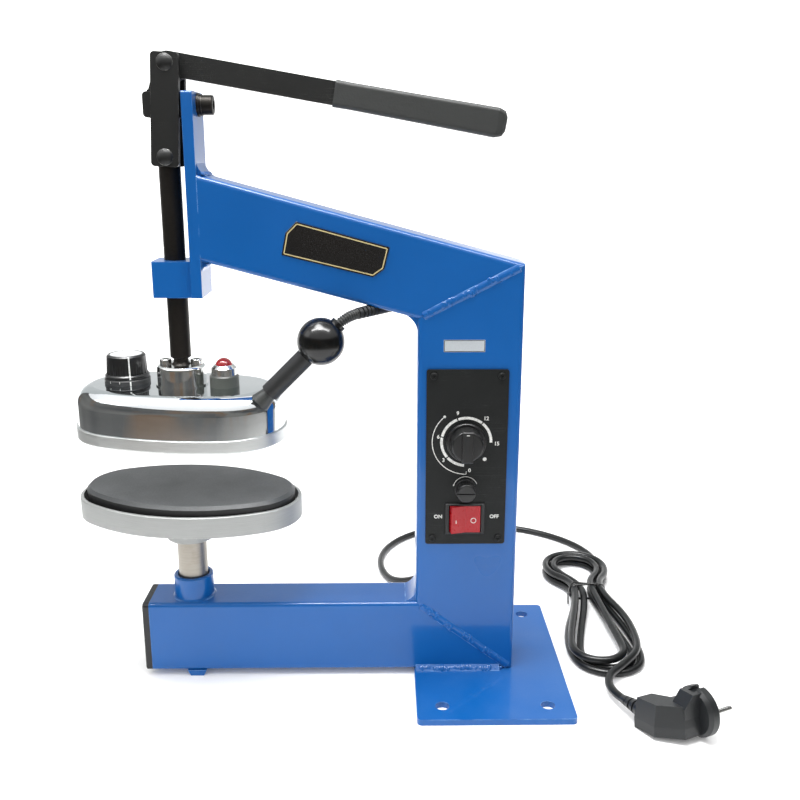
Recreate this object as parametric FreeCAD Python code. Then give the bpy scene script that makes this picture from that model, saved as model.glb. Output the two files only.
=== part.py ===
"""Bench vulcanising press for tyre repairs: a welded C-frame, a lever toggle, an oval heated head
and an oval platen below it.  Lengths are millimetres, angles are degrees.  +X runs to the right of the
operator's view, +Y away from the operator, +Z up.  The origin is the centre of the base plate's
bolt pattern, on the plate's underside."""
import FreeCAD, Part
import math
import os

Vector = FreeCAD.Vector
Rotation = FreeCAD.Rotation
Placement = FreeCAD.Placement

# Base plate
plate_width = 122.0
plate_depth = 185.0
plate_thickness = 5.0
plate_corner = 4.0
bolt_span_x = 82.0
bolt_span_y = 148.0
bolt_hole = 11.0

# Welded frame of rectangular tube
tube_depth = 40.0
tube_wall = 2.5
tube_corner = 3.5
column_width = 80.0
column_right = 20.0
column_height = 339.0
lower_arm_height = 60.0
upper_arm_height = 60.0
arm_slope = 15.0
arm_overhang = 34.0
weld_bead = 3.2
weld_bead_rise = 1.1
weld_bead_end = 5.0
weld_throat = 0.36
foot_weld_leg = 4.0
foot_weld_stop = 11.0
corner_weld = 9.0

# Press axis, shared by the plunger, the head, the platen and its sleeve
press_x = -243.0

# Feet and end cap of the lower arm
end_cap_flange = 5.5
end_cap_plug = 14.0
end_cap_wall = 2.0
foot_offset = 2.5
foot_top_width = 15.6
foot_bottom_width = 10.7

# Head post at the end of the upper arm, and the plunger guide welded to it
post_thickness = 8.0
post_drop = 27.2
post_rise = 57.7
post_weld = 8.0
post_edge = 2.0
guide_width = 30.0
guide_depth = 30.0
guide_height = 27.0
guide_drop = 0.5

# Sleeve and platen post
sleeve_outer = 32.0
sleeve_top = 84.0
sleeve_weld = 1.6
sleeve_mouth = 1.2
platen_post_diameter = 23.6
platen_post_lift = 0.5
running_clearance = 0.05

# Toggle linkage
fulcrum_offset = -4.5
fulcrum_drop = 5.5
toggle_arm_x = 8.0
toggle_arm_z = 25.0
link_pitch = 65.1
link_width = 20.0
link_end = 6.8
link_thickness = 5.0
link_edge = 3.0
pin_diameter = 8.0
rivet_head = 12.0
rivet_head_height = 2.4
side_gap = 0.3
pin_fit = 0.05

# Pivot block on the post
block_width = 30.0
block_depth = 16.0
block_height = 18.0
block_screw_drop = 9.0
slot_backing = 6.0
screw_diameter = 8.0
screw_head = 14.0
screw_head_height = 8.0
screw_socket = 6.0
washer_diameter = 16.5
washer_thickness = 1.6
spring_washer_thickness = 1.9

# Lever
lever_height = 16.8
lever_thickness = 8.0
lever_slope = 9.7
lever_lobe = 10.0
lever_web = 17.0
lever_fillet = 8.0
grip_start = 120.5
grip_end = 247.5
grip_height_start = 19.2
grip_height_end = 21.2
grip_width_start = 12.0
grip_width_end = 15.0
grip_corner = 3.0
tang_height = 14.0
tang_thickness = 6.0
tang_length = 60.0

# Plunger
plunger_diameter = 16.0
plunger_crown = 8.0
plunger_foot = 266.0
plunger_neck = 11.5
plunger_flare = 15.0

# Oval head: heating plate, cover and what the cover carries
head_x_offset = -2.0
head_y = 1.0
head_yaw = -10.5
heater_half_length = 84.0
heater_half_width = 53.0
heater_end_radius = 49.0
heater_bottom = 203.0
heater_thickness = 10.0
cover_inset = 1.5
cover_top = 244.0
cover_edge = 13.0
cover_wall = 1.6
element_diameter = 8.0
element_half_length = 62.0
element_half_width = 34.0
element_end_radius = 31.0
pressure_block_diameter = 44.0
hub_diameter = 37.6
hub_height = 16.0
hub_edge = 2.5
hub_screw_offset = 12.0
hub_screw_head = 9.0
hub_screw_height = 4.0
hub_screw_diameter = 5.0

# Thermostat on the head
thermostat_x = -287.7
thermostat_y = 8.3
dial_ring_diameter = 35.0
dial_ring_height = 4.0
knob_skirt_diameter = 34.0
knob_skirt_height = 3.0
knob_diameter_low = 31.5
knob_diameter_high = 30.0
knob_top = 266.5
knob_disc_diameter = 25.0
knob_disc_recess = 0.6
thermostat_can_diameter = 30.0
thermostat_can_height = 18.0
spindle_diameter = 6.0
spindle_engagement = 9.0
knob_lift = 0.4

# Pilot lamp on the head
lamp_x = -209.0
lamp_y = -6.3
lamp_base_diameter = 22.5
lamp_base_height = 9.0
lamp_bezel_diameter = 19.8
lamp_bezel_height = 8.0
lamp_lens_diameter = 13.0
lamp_lens_dome = 5.0

# Head handle with its ball and conduit
ball_x = -131.7
ball_y = -36.0
ball_z = 284.5
ball_diameter = 35.4
stem_foot_x = -176.0
stem_foot_y = -34.0
stem_foot_z = 240.0
stem_diameter = 14.6
stem_bore = 6.0
cone_length = 7.5
cone_small = 11.0
collar_diameter = 12.0
collar_rise = 1.5
conduit_diameter = 8.0
conduit_bore = 5.0
conduit_rib_pitch = 1.3
conduit_rib_depth = 0.5
conduit_bend = 13.0
relief_base = 10.0
relief_slots = 5
relief_slot_depth = 1.1
relief_slot_pitch = 3.4
relief_slot_width = 1.4
relief_slot_start = 3.0
relief_clearance = 0.6
arm_port = (-86.0, -8.0)
relief_tip_x = -105.0
relief_tip_y = -25.0
relief_tip_drop = 2.0
conduit_last_run = 11.0

# Platen
dish_x_offset = 1.5
dish_y = 2.0
dish_yaw = -8.0
dish_half_length = 90.0
dish_half_width = 56.0
dish_end_radius = 42.0
dish_rim_top = 153.0
dish_rim_low = 136.5
dish_rim_wall = 2.6
dish_floor = 7.0
dish_boss_diameter = 39.0
dish_boss_low = 116.5
dish_taper_height = 9.0
dish_taper_inset = 10.0
dish_socket_depth = 20.0
pad_yaw = -10.0
pad_side_gap = 2.2
pad_top = 160.0
pad_bevel = 2.5

# Control panel on the column front
panel_left = -53.0
panel_right = 10.0
panel_bottom = 117.3
panel_top = 259.7
panel_thickness = 1.5
panel_corner = 2.0
panel_screw_margin_x = 5.6
panel_screw_margin_z = 5.0
panel_screw_head = 5.6
panel_screw_height = 1.8
panel_screw_diameter = 3.0
panel_screw_length = 6.0
timer_z = 202.3
timer_diameter = 31.0
timer_skirt_height = 3.5
timer_height = 14.0
timer_grip_width = 8.5
timer_grip_rise = 3.0
timer_can_width = 40.0
timer_can_height = 42.0
timer_can_depth = 26.0
timer_bush_diameter = 10.0
control_x_offset = -0.4
fuse_z = 163.5
fuse_flange_diameter = 17.0
fuse_flange_height = 2.0
fuse_cap_diameter = 14.6
fuse_cap_height = 9.0
fuse_body_diameter = 12.5
fuse_body_depth = 30.0
fuse_flutes = 16
switch_z = 139.0
switch_width = 31.2
switch_height = 25.6
switch_flange = 2.0
switch_body_width = 27.6
switch_body_height = 23.6
switch_body_depth = 20.0
rocker_width = 25.0
rocker_height = 22.0
rocker_gap = 0.3
rocker_tilt = 8.0
rocker_pivot_depth = 3.0
rocker_proud = 0.3
rocker_depth = 4.0
rocker_pin_diameter = 2.4
switch_well = 8.0
control_lift = 0.3

# Mains cord
cord_diameter = 6.5
cord_exit_x = -20.0
cord_exit_z = 53.0
gland_flange_diameter = 20.0
gland_flange_height = 4.0
gland_nose = 28.0
gland_base_diameter = 12.5
gland_body_depth = 10.0
cord_route = [
    (-20.0, 80.0, 53.0),
    (-36.0, 106.0, 36.0),
    (-60.0, 126.0, 14.0),
    (-81.0, 150.0, 3.3),
    (-92.0, 186.0, 3.3),
    (-87.0, 226.0, 3.3),
    (-64.0, 262.0, 3.3),
    (-25.0, 286.0, 3.3),
    (22.0, 292.0, 3.3),
    (66.0, 283.0, 3.3),
    (99.0, 262.0, 3.3),
    (123.0, 235.0, 3.3),
    (135.6, 204.0, 3.3),
]

# Hank of the spare cord: loops side by side in two layers, tied at a narrow waist
hank_x = 108.0
hank_upper_y = 172.0
hank_waist_y = 113.0
hank_lower_y = 3.6
hank_waist_shift = 2.0
hank_outer = 27.6
hank_inner = 19.6
hank_step = 8.6
hank_layer = 7.3
hank_waist_lift = 1.6
hank_tail = [
    (26.6, 52.0, 0.0, (0.0, -1.0, 0.0)),
    (25.5, 2.0, 0.0, (-0.3, -1.0, 0.0)),
    (-3.0, -34.0, 0.3, (-0.4, -1.0, -0.08)),
]
tie_width = 5.0
tie_thickness = 1.2
tie_bite = 0.05

# Plug: moulded right-angle body with two round pins
plug_start = (99.3, -72.0)
plug_start_z = 9.0
plug_heading = (0.42, -0.91)
boot_length = 22.0
boot_end_diameter = 12.5
boot_slots = 3
boot_slot_start = 3.5
boot_slot_pitch = 5.5
boot_slot_width = 2.0
plug_radius = 19.0
plug_collar = 9.0
plug_neck_reach = 28.0
plug_neck_setback = 34.0
plug_neck_drop = 3.0
plug_sole = -15.0
plug_crease = -7.0
plug_crown = 9.0
plug_slope = 2.6
plug_heel = [(-7.0, -1.0), (-7.0, -23.0), (8.0, -39.0), (28.0, -41.0), (28.0, -27.0), (15.0, -16.0),
             (12.0, -1.0)]
earth_block_width = 14.0
earth_block_reach = 17.2
earth_block_length = 15.0
earth_block_slope = 8.0
plug_pin_diameter = 4.8
plug_pin_length = 19.0
plug_pin_span = 19.0
plug_pin_seat = 6.0
earth_slot_width = 6.0
earth_slot_depth = 3.2
earth_slot_length = 11.0

# Heights and places that follow from the sizes above
half_depth = tube_depth / 2.0
column_left = column_right - column_width
arm_top = plate_thickness + lower_arm_height
arm_end = press_x - arm_overhang
arm_floor = plate_thickness + tube_wall
slope_rise = math.tan(math.radians(arm_slope))
slope_cos = math.cos(math.radians(arm_slope))
slope_sin = math.sin(math.radians(arm_slope))
upper_inner_z = column_height + column_width * slope_rise - upper_arm_height / slope_cos
guide_right = press_x + guide_width / 2.0
post_left = guide_right
post_right = post_left + post_thickness
arm_top_at_post = column_height + (column_right - post_right) * slope_rise
arm_under_at_post = arm_top_at_post - upper_arm_height / slope_cos
arm_under_at_port = column_height + (column_right - arm_port[0]) * slope_rise - upper_arm_height / slope_cos
post_top = arm_top_at_post + post_rise
post_bottom = arm_under_at_post - post_drop
fulcrum = Vector(press_x + fulcrum_offset, 0, post_top - fulcrum_drop)
relief_tip = Vector(relief_tip_x, relief_tip_y, arm_under_at_port - relief_tip_drop)
arm_port_centre = Vector(arm_port[0], arm_port[1], arm_under_at_port)
relief_axis = (arm_port_centre - relief_tip).normalize()
conduit_corner = relief_tip - relief_axis * conduit_last_run
link_top = fulcrum + Vector(toggle_arm_x, 0, toggle_arm_z)
link_drop = math.sqrt(link_pitch ** 2 - (link_top.x - press_x) ** 2)
link_foot = Vector(press_x, 0, link_top.z - link_drop)
block_right = post_left
block_left = block_right - block_width
block_half = block_depth / 2.0
block_bottom = post_top - block_height
block_screw_z = post_top - block_screw_drop
plate_inner = block_half + side_gap
plate_outer = plate_inner + link_thickness
heater_top = heater_bottom + heater_thickness
head_x = press_x + head_x_offset
dish_x = press_x + dish_x_offset
panel_face = -half_depth - panel_thickness
control_x = (panel_left + panel_right) / 2.0 + control_x_offset
cord_radius = cord_diameter / 2.0
gland_end_y = half_depth + gland_flange_height + gland_nose


def box(x0, x1, y0, y1, z0, z1):
    """Block between two opposite corners."""
    return Part.makeBox(x1 - x0, y1 - y0, z1 - z0, Vector(x0, y0, z0))


def rod(diameter, start, end):
    """Round bar from one point to another."""
    start = Vector(*start)
    axis = Vector(*end) - start
    return Part.makeCylinder(diameter / 2.0, axis.Length, start, axis)


def cone(diameter_start, diameter_end, start, end):
    """Tapered round bar from one point to another."""
    start = Vector(*start)
    axis = Vector(*end) - start
    return Part.makeCone(diameter_start / 2.0, diameter_end / 2.0, axis.Length, start, axis)


def sheet_y(points, y0, y1):
    """Plate of constant thickness along Y, from an outline of (x, z) points."""
    outline = Part.makePolygon([Vector(x, y0, z) for x, z in points + points[:1]])
    return Part.Face(outline).extrude(Vector(0, y1 - y0, 0))


def sheet_z(points, z0, z1):
    """Plate of constant thickness along Z, from an outline of (x, y) points."""
    outline = Part.makePolygon([Vector(x, y, z0) for x, y in points + points[:1]])
    return Part.Face(outline).extrude(Vector(0, 0, z1 - z0))


def turned(points, x, y):
    """Solid of revolution about a vertical axis at x, y, from (radius, z) points."""
    outline = Part.makePolygon([Vector(x + r, y, z) for r, z in points + points[:1]])
    return Part.Face(outline).revolve(Vector(x, y, 0), Vector(0, 0, 1), 360)


def rounded_rectangle(width, height, radius):
    """Wire centred on the origin in the XY plane, with round corners."""
    w = width / 2.0
    h = height / 2.0
    k = radius * (1 - math.sqrt(0.5))
    corners = [
        (Vector(w, h - radius, 0), Vector(w - k, h - k, 0), Vector(w - radius, h, 0)),
        (Vector(-w + radius, h, 0), Vector(-w + k, h - k, 0), Vector(-w, h - radius, 0)),
        (Vector(-w, -h + radius, 0), Vector(-w + k, -h + k, 0), Vector(-w + radius, -h, 0)),
        (Vector(w - radius, -h, 0), Vector(w - k, -h + k, 0), Vector(w, -h + radius, 0)),
    ]
    edges = []
    for i, (first, middle, last) in enumerate(corners):
        edges.append(Part.Arc(first, middle, last).toShape())
        edges.append(Part.LineSegment(last, corners[(i + 1) % 4][0]).toShape())
    return Part.Wire(edges)


def oval(a, b, r, z, centre=(0.0, 0.0), yaw=0.0):
    """Oval wire of four tangent arcs: half length a, half width b, end radius r."""
    side = ((a - r) ** 2 + b ** 2 - r ** 2) / (2 * (b - r))
    reach = math.hypot(a - r, side - b)
    tx = (a - r) + r * (a - r) / reach
    ty = r * (side - b) / reach
    points = [Vector(tx, -ty, z), Vector(tx, ty, z), Vector(-tx, ty, z), Vector(-tx, -ty, z)]
    tops = [Vector(a, 0, z), Vector(0, b, z), Vector(-a, 0, z), Vector(0, -b, z)]
    edges = []
    for i in range(4):
        edges.append(Part.Arc(points[i], tops[i], points[(i + 1) % 4]).toShape())
    wire = Part.Wire(edges)
    wire.Placement = Placement(Vector(centre[0], centre[1], 0), Rotation(Vector(0, 0, 1), yaw))
    return wire


def oval_block(a, b, r, z0, z1, centre, yaw):
    """Upright oval slab."""
    return Part.Face(oval(a, b, r, z0, centre, yaw)).extrude(Vector(0, 0, z1 - z0))


def edges_at(shape, z):
    """Edges that lie wholly in the level plane z."""
    found = []
    for edge in shape.Edges:
        bounds = edge.BoundBox
        if abs(bounds.ZMin - z) < 0.01 and abs(bounds.ZMax - z) < 0.01:
            found.append(edge)
    return found


def trim(shape, point, outward):
    """Cut away what lies beyond a plane, on the side that outward points to."""
    size = 2000.0
    block = Part.makeBox(size, size, size, Vector(-size / 2, -size / 2, 0))
    block.Placement = Placement(Vector(*point), Rotation(Vector(0, 0, 1), Vector(*outward)))
    return shape.cut(block)


def tube(width, depth, start, direction, length):
    """Rectangular tube with round corners, width in the XZ plane and depth along Y."""
    outer = Part.Face(rounded_rectangle(width, depth, tube_corner))
    bore = Part.Face(rounded_rectangle(
        width - 2 * tube_wall, depth - 2 * tube_wall, tube_corner - tube_wall))
    profile = outer.cut(bore).extrude(Vector(0, 0, length))
    angle = math.degrees(math.atan2(direction[0], direction[2]))
    profile.Placement = Placement(Vector(*start), Rotation(Vector(0, 1, 0), angle))
    return profile


def bead(start, end):
    """Low weld bead across both faces of a mitred seam, from one corner to the other."""
    start = Vector(start[0], 0, start[1])
    end = Vector(end[0], 0, end[1])
    axis = (end - start).normalize()
    inset = axis * weld_bead_end
    pieces = []
    for side in (-1, 1):
        offset = weld_bead ** 2 / (2 * weld_bead_rise) - weld_bead_rise / 2
        radius = offset + weld_bead_rise
        centre_y = side * (half_depth - offset)
        roll = Part.makeCylinder(
            radius, (end - start).Length - 2 * weld_bead_end,
            start + inset + Vector(0, centre_y, 0), axis)
        low, high = sorted((side * half_depth, side * (half_depth + 2 * weld_bead_rise)))
        reach = 400.0
        pieces.append(roll.common(box(-reach, reach, low, high, -reach, 2 * reach)))
    return pieces


def concave_weld(corner, along_a, along_b, leg):
    """Concave fillet weld in the corner between two directions in the XZ plane."""
    a = Vector(along_a[0], 0, along_a[1]).normalize()
    b = Vector(along_b[0], 0, along_b[1]).normalize()
    y = half_depth - tube_corner
    origin = Vector(corner[0], -y, corner[1])
    first = origin + a * leg
    last = origin + b * leg
    middle = origin + (a + b) * (leg * weld_throat)
    outline = Part.Wire([
        Part.LineSegment(origin, first).toShape(),
        Part.Arc(first, middle, last).toShape(),
        Part.LineSegment(last, origin).toShape(),
    ])
    return Part.Face(outline).extrude(Vector(0, 2 * y, 0))


def upper_arm_top(x):
    """Height of the sloping arm's top face at x."""
    return column_height + (column_right - x) * slope_rise


def upper_arm_under(x):
    """Height of the sloping arm's underside at x."""
    return upper_arm_top(x) - upper_arm_height / slope_cos


def foot_weld():
    """Fillet welds between the lower arm's side faces and the base plate."""
    welds = []
    leg = foot_weld_leg
    y = half_depth
    for side in (-1, 1):
        section = [Vector(column_left, side * y, plate_thickness),
                   Vector(column_left, side * (y + leg), plate_thickness),
                   Vector(column_left, side * y, plate_thickness + leg)]
        outline = Part.Face(Part.makePolygon(section + section[:1]))
        welds.append(outline.extrude(Vector(column_width - foot_weld_stop, 0, 0)))
    return welds


def base_plate():
    """Floor plate with four bolt holes."""
    outline = Part.Face(rounded_rectangle(plate_width, plate_depth, plate_corner))
    plate = outline.extrude(Vector(0, 0, plate_thickness))
    for x in (-bolt_span_x / 2, bolt_span_x / 2):
        for y in (-bolt_span_y / 2, bolt_span_y / 2):
            plate = plate.cut(rod(bolt_hole, (x, y, 0), (x, y, plate_thickness)))
    return plate


def control_cutouts(depth):
    """Openings for the timer bush, the fuse holder and the switch, through the panel and tube wall."""
    near = panel_face - 1
    far = panel_face + depth
    w = switch_body_width / 2 + rocker_gap
    h = switch_body_height / 2 + rocker_gap
    return [
        rod(timer_bush_diameter, (control_x, near, timer_z), (control_x, far, timer_z)),
        rod(fuse_body_diameter, (control_x, near, fuse_z), (control_x, far, fuse_z)),
        box(control_x - w, control_x + w, near, far, switch_z - h, switch_z + h),
    ]


def panel_screw_places():
    """Centres of the four panel screws."""
    xs = (panel_left + panel_screw_margin_x, panel_right - panel_screw_margin_x)
    zs = (panel_bottom + panel_screw_margin_z, panel_top - panel_screw_margin_z)
    return [(x, z) for x in xs for z in zs]


def column():
    """Upright tube, mitred at both ends, with its weld beads."""
    centre = (column_left + column_right) / 2
    body = tube(column_width, tube_depth, (centre, 0, plate_thickness), (0, 0, 1), 2 * column_height)
    low_inner = (column_left, arm_top)
    low_outer = (column_right, plate_thickness)
    high_inner = (column_left, upper_inner_z)
    high_outer = (column_right, column_height)
    body = trim(body, (column_left, 0, arm_top), (-lower_arm_height, 0, -column_width))
    body = trim(body, (column_left, 0, upper_inner_z),
                (-(high_outer[1] - high_inner[1]), 0, column_width))
    for cutter in control_cutouts(panel_thickness + tube_wall + 1):
        body = body.cut(cutter)
    for x, z in panel_screw_places():
        body = body.cut(rod(panel_screw_diameter, (x, -half_depth, z), (x, -half_depth + 4, z)))
    exit_hole = rod(gland_base_diameter, (cord_exit_x, half_depth - 5, cord_exit_z),
                    (cord_exit_x, half_depth + 1, cord_exit_z))
    body = body.cut(exit_hole)
    welds = bead(low_inner, low_outer) + bead(high_inner, high_outer)
    welds.append(concave_weld(low_inner, (-1, 0), (0, 1), corner_weld))
    welds.append(concave_weld(high_inner, (-slope_cos, slope_sin), (0, -1), corner_weld))
    return body.fuse(welds).removeSplitter()


def lower_arm():
    """Level tube that carries the platen, with the hole that its sleeve passes through."""
    length = column_right - arm_end
    start = (arm_end, 0, plate_thickness + lower_arm_height / 2)
    body = tube(lower_arm_height, tube_depth, start, (1, 0, 0), length)
    body = trim(body, (column_left, 0, arm_top), (lower_arm_height, 0, column_width))
    hole = rod(sleeve_outer, (press_x, 0, arm_floor + 5), (press_x, 0, arm_top + 1))
    body = body.cut(hole)
    exit_hole = rod(gland_base_diameter, (cord_exit_x, half_depth - 5, cord_exit_z),
                    (cord_exit_x, half_depth + 1, cord_exit_z))
    return body.cut(exit_hole).fuse(foot_weld())


def upper_arm():
    """Sloping tube from the column to the head post, with the port for the conduit."""
    run = (column_right - post_right) / slope_cos + 2 * upper_arm_height
    axis = Vector(-slope_cos, 0, slope_sin)
    down = Vector(-slope_sin, 0, -slope_cos)
    corner = Vector(column_right, 0, column_height)
    start = corner + down * (upper_arm_height / 2) - axis * upper_arm_height
    body = tube(upper_arm_height, tube_depth, tuple(start), tuple(axis), run)
    lift = column_height - upper_inner_z
    body = trim(body, (column_left, 0, upper_inner_z), (lift, 0, -column_width))
    body = trim(body, (post_right, 0, 0), (-1, 0, 0))
    port = rod(conduit_bore, arm_port_centre + down * tube_wall, arm_port_centre - down * 2 * tube_wall)
    return body.cut(port)


def arm_end_cap():
    """Push-in plastic cap with a hollow plug."""
    flange = Part.Face(rounded_rectangle(lower_arm_height, tube_depth, tube_corner))
    flange = flange.extrude(Vector(0, 0, end_cap_flange))
    inner_h = lower_arm_height - 2 * tube_wall
    inner_d = tube_depth - 2 * tube_wall
    plug = Part.Face(rounded_rectangle(inner_h, inner_d, tube_corner - tube_wall))
    hollow = Part.Face(rounded_rectangle(
        inner_h - 2 * end_cap_wall, inner_d - 2 * end_cap_wall, tube_corner - tube_wall))
    plug = plug.cut(hollow).extrude(Vector(0, 0, -end_cap_plug))
    rim = [e for e in flange.Edges if abs(e.BoundBox.ZMin - end_cap_flange) < 0.01]
    flange = flange.makeFillet(1.5, rim)
    cap = flange.fuse(plug)
    centre = Vector(arm_end, 0, plate_thickness + lower_arm_height / 2)
    cap.Placement = Placement(centre, Rotation(Vector(0, 1, 0), -90))
    return cap


def support_foot():
    """Bar welded under the free end of the lower arm."""
    x = press_x + foot_offset
    top = foot_top_width / 2
    low = foot_bottom_width / 2
    outline = [(x - low, 0), (x + low, 0), (x + top, plate_thickness), (x - top, plate_thickness)]
    return sheet_y(outline, -half_depth, half_depth)


def head_post():
    """Flat bar welded across the end of the upper arm."""
    post = box(post_left, post_right, -half_depth, half_depth, post_bottom, post_top)
    top_edges = edges_at(post, post_top)
    rounded = [e for e in top_edges if e.BoundBox.YLength < 0.01]
    post = post.makeFillet(post_edge, rounded)
    hole = rod(screw_diameter, (post_left - 1, 0, block_screw_z), (post_right + 1, 0, block_screw_z))
    welds = [
        concave_weld((post_right, upper_arm_top(post_right)), (slope_cos, -slope_sin), (0, 1), post_weld),
        concave_weld((post_right, upper_arm_under(post_right)), (slope_cos, -slope_sin), (0, -1),
                     post_weld),
    ]
    return post.cut(hole).fuse(welds)


def guide_block():
    """Block on the post with the plunger's guide bore."""
    bottom = post_bottom - guide_drop
    x0 = press_x - guide_width / 2
    y = guide_depth / 2
    block = box(x0, guide_right, -y, y, bottom, bottom + guide_height)
    upright = [e for e in block.Edges
               if e.BoundBox.ZLength > guide_height / 2 and e.BoundBox.XMin < x0 + 1]
    block = block.makeFillet(2.0, upright)
    bore = plunger_diameter + 2 * running_clearance
    block = block.cut(rod(bore, (press_x, 0, bottom), (press_x, 0, bottom + guide_height)))
    return block


def post_sleeve():
    """Sleeve in the lower arm, with the weld round its foot."""
    bore = platen_post_diameter / 2 + running_clearance
    outer = sleeve_outer / 2
    mouth = sleeve_mouth
    body = turned([(bore, arm_floor), (outer, arm_floor), (outer, sleeve_top - 1), (outer - 1, sleeve_top),
                   (bore + mouth, sleeve_top), (bore, sleeve_top - 2 * mouth)], press_x, 0)
    weld = turned([(outer - 1, arm_top), (outer + sleeve_weld, arm_top),
                   (outer + sleeve_weld * 0.35, arm_top + sleeve_weld * 0.35),
                   (outer, arm_top + sleeve_weld), (outer - 1, arm_top + sleeve_weld)], press_x, 0)
    flat = box(press_x - sleeve_outer, press_x + sleeve_outer, -half_depth, half_depth,
               arm_top, arm_top + sleeve_weld)
    return body.fuse(weld.common(flat)).removeSplitter()


def platen_post():
    """Round post that carries the platen and turns in the sleeve."""
    top = dish_boss_low + dish_socket_depth
    low = arm_floor + platen_post_lift
    r = platen_post_diameter / 2
    return turned([(0, low), (r - 1, low), (r, low + 1), (r, top - 1), (r - 1, top), (0, top)],
                  press_x, 0)


def pivot_block():
    """Clevis block on the post that carries the lever's fulcrum pin."""
    block = box(block_left, block_right, -block_half, block_half, block_bottom, post_top)
    slot = lever_thickness / 2 + side_gap / 2
    block = block.cut(box(block_left - 1, block_right - slot_backing, -slot, slot,
                          block_bottom - 1, post_top + 1))
    rounded = [e for e in block.Edges
               if e.BoundBox.YLength > 1 and e.BoundBox.XMax < block_left + 0.01]
    block = block.makeFillet(3.0, rounded)
    pin = rod(pin_diameter, (fulcrum.x, -block_half, fulcrum.z), (fulcrum.x, block_half, fulcrum.z))
    screw = rod(screw_diameter, (block_right - slot_backing - 1, 0, block_screw_z),
                (block_right + 1, 0, block_screw_z))
    return block.cut(pin).cut(screw)


def pivot_washers():
    """Spring washer against the post and flat washer under the screw head."""
    x0 = post_right
    x1 = x0 + washer_thickness
    x2 = x1 + spring_washer_thickness
    z = block_screw_z
    flat = rod(washer_diameter, (x0, 0, z), (x1, 0, z))
    spring = rod(washer_diameter - 1.5, (x1, 0, z), (x2, 0, z))
    hole = rod(screw_diameter, (x0, 0, z), (x2, 0, z))
    split = box(x1, x2, -0.5, 0.5, z, z + washer_diameter)
    return Part.makeCompound([flat.cut(hole), spring.cut(hole).cut(split)])


def pivot_screw():
    """Socket screw through the post into the pivot block."""
    x0 = post_right + washer_thickness + spring_washer_thickness
    x1 = x0 + screw_head_height
    z = block_screw_z
    shank = rod(screw_diameter, (block_right - slot_backing, 0, z), (x0, 0, z))
    head = rod(screw_head, (x0, 0, z), (x1, 0, z))
    rim = [e for e in head.Edges if abs(e.BoundBox.XMin - x1) < 0.01]
    head = head.makeFillet(0.8, rim)
    flats = []
    for i in range(6):
        turn = math.radians(60 * i)
        reach = screw_socket / 2 / math.cos(math.radians(30))
        flats.append(Vector(x1, reach * math.cos(turn), z + reach * math.sin(turn)))
    socket = Part.Face(Part.makePolygon(flats + flats[:1])).extrude(Vector(-screw_head_height / 2, 0, 0))
    return shank.fuse(head).cut(socket)


def fulcrum_pin():
    """Pin through the clevis and the lever's lobe, flush with the block."""
    return rod(pin_diameter, (fulcrum.x, -block_half, fulcrum.z), (fulcrum.x, block_half, fulcrum.z))


def lever_frame():
    """Placement whose X axis runs along the lever from the link pin."""
    return Placement(link_top, Rotation(Vector(0, 1, 0), lever_slope))


def lever_bar():
    """Flat lever with a rounded end on the link pin and a web down to the fulcrum."""
    half = lever_thickness / 2
    r = lever_height / 2
    bar = box(0, grip_start, -half, half, -r, r)
    tang_h = tang_height / 2
    tang_t = tang_thickness / 2
    bar = bar.fuse(box(grip_start, grip_start + tang_length, -tang_t, tang_t, -tang_h, tang_h))
    bar = bar.fuse(rod(lever_height, (0, -half, 0), (0, half, 0)))
    local = lever_frame().inverse()
    pivot = local.multVec(fulcrum)
    down = Vector(pivot).normalize()
    across = Vector(-down.z, 0, down.x) * (lever_web / 2)
    web = Part.Face(Part.makePolygon([
        Vector(0, -half, 0) + across, pivot + Vector(0, -half, 0) + across,
        pivot + Vector(0, -half, 0) - across, Vector(0, -half, 0) - across,
        Vector(0, -half, 0) + across])).extrude(Vector(0, lever_thickness, 0))
    lobe = rod(2 * lever_lobe, (pivot.x, -half, pivot.z), (pivot.x, half, pivot.z))
    lever = bar.fuse(web).fuse(lobe).removeSplitter()
    inner = []
    for edge in lever.Edges:
        middle = edge.BoundBox.Center
        upright = edge.BoundBox.YLength > half and edge.BoundBox.XLength < 0.01
        if upright and abs(middle.z + r) < 0.5 and 0 < middle.x < 2 * lever_height:
            inner.append(edge)
    lever = lever.makeFillet(lever_fillet, inner)
    hole = pin_diameter + 2 * pin_fit
    lever = lever.cut(rod(hole, (0, -half - 1, 0), (0, half + 1, 0)))
    lever = lever.cut(rod(hole, (pivot.x, -half - 1, pivot.z), (pivot.x, half + 1, pivot.z)))
    lever.Placement = lever_frame()
    return lever


def lever_grip():
    """Moulded grip over the lever's tang, growing towards its rounded end."""
    sections = []
    stations = [
        (grip_start, grip_width_start, grip_height_start),
        (grip_start + 12, grip_width_start + 0.6, grip_height_start - 0.4),
        ((grip_start + grip_end) / 2, (grip_width_start + grip_width_end) / 2, grip_height_start + 0.6),
        (grip_end - 7, grip_width_end, grip_height_end),
        (grip_end - 2.2, grip_width_end - 2.4, grip_height_end - 3.2),
        (grip_end, grip_width_end - 8, grip_height_end - 10),
    ]
    for x, width, height in stations:
        wire = rounded_rectangle(height, width, min(grip_corner, width / 2 - 0.5))
        wire.Placement = Placement(Vector(x, 0, 0), Rotation(Vector(0, 1, 0), 90))
        sections.append(wire)
    grip = Part.makeLoft(sections, True, True)
    tang_h = tang_height / 2
    tang_t = tang_thickness / 2
    grip = grip.cut(box(grip_start, grip_start + tang_length, -tang_t, tang_t, -tang_h, tang_h))
    grip.Placement = lever_frame()
    return grip


def link_frame():
    """Placement whose Z axis runs along the links from foot to top."""
    lean = math.degrees(math.atan2(link_top.x - link_foot.x, link_top.z - link_foot.z))
    return Placement(link_foot, Rotation(Vector(0, 1, 0), lean))


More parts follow.
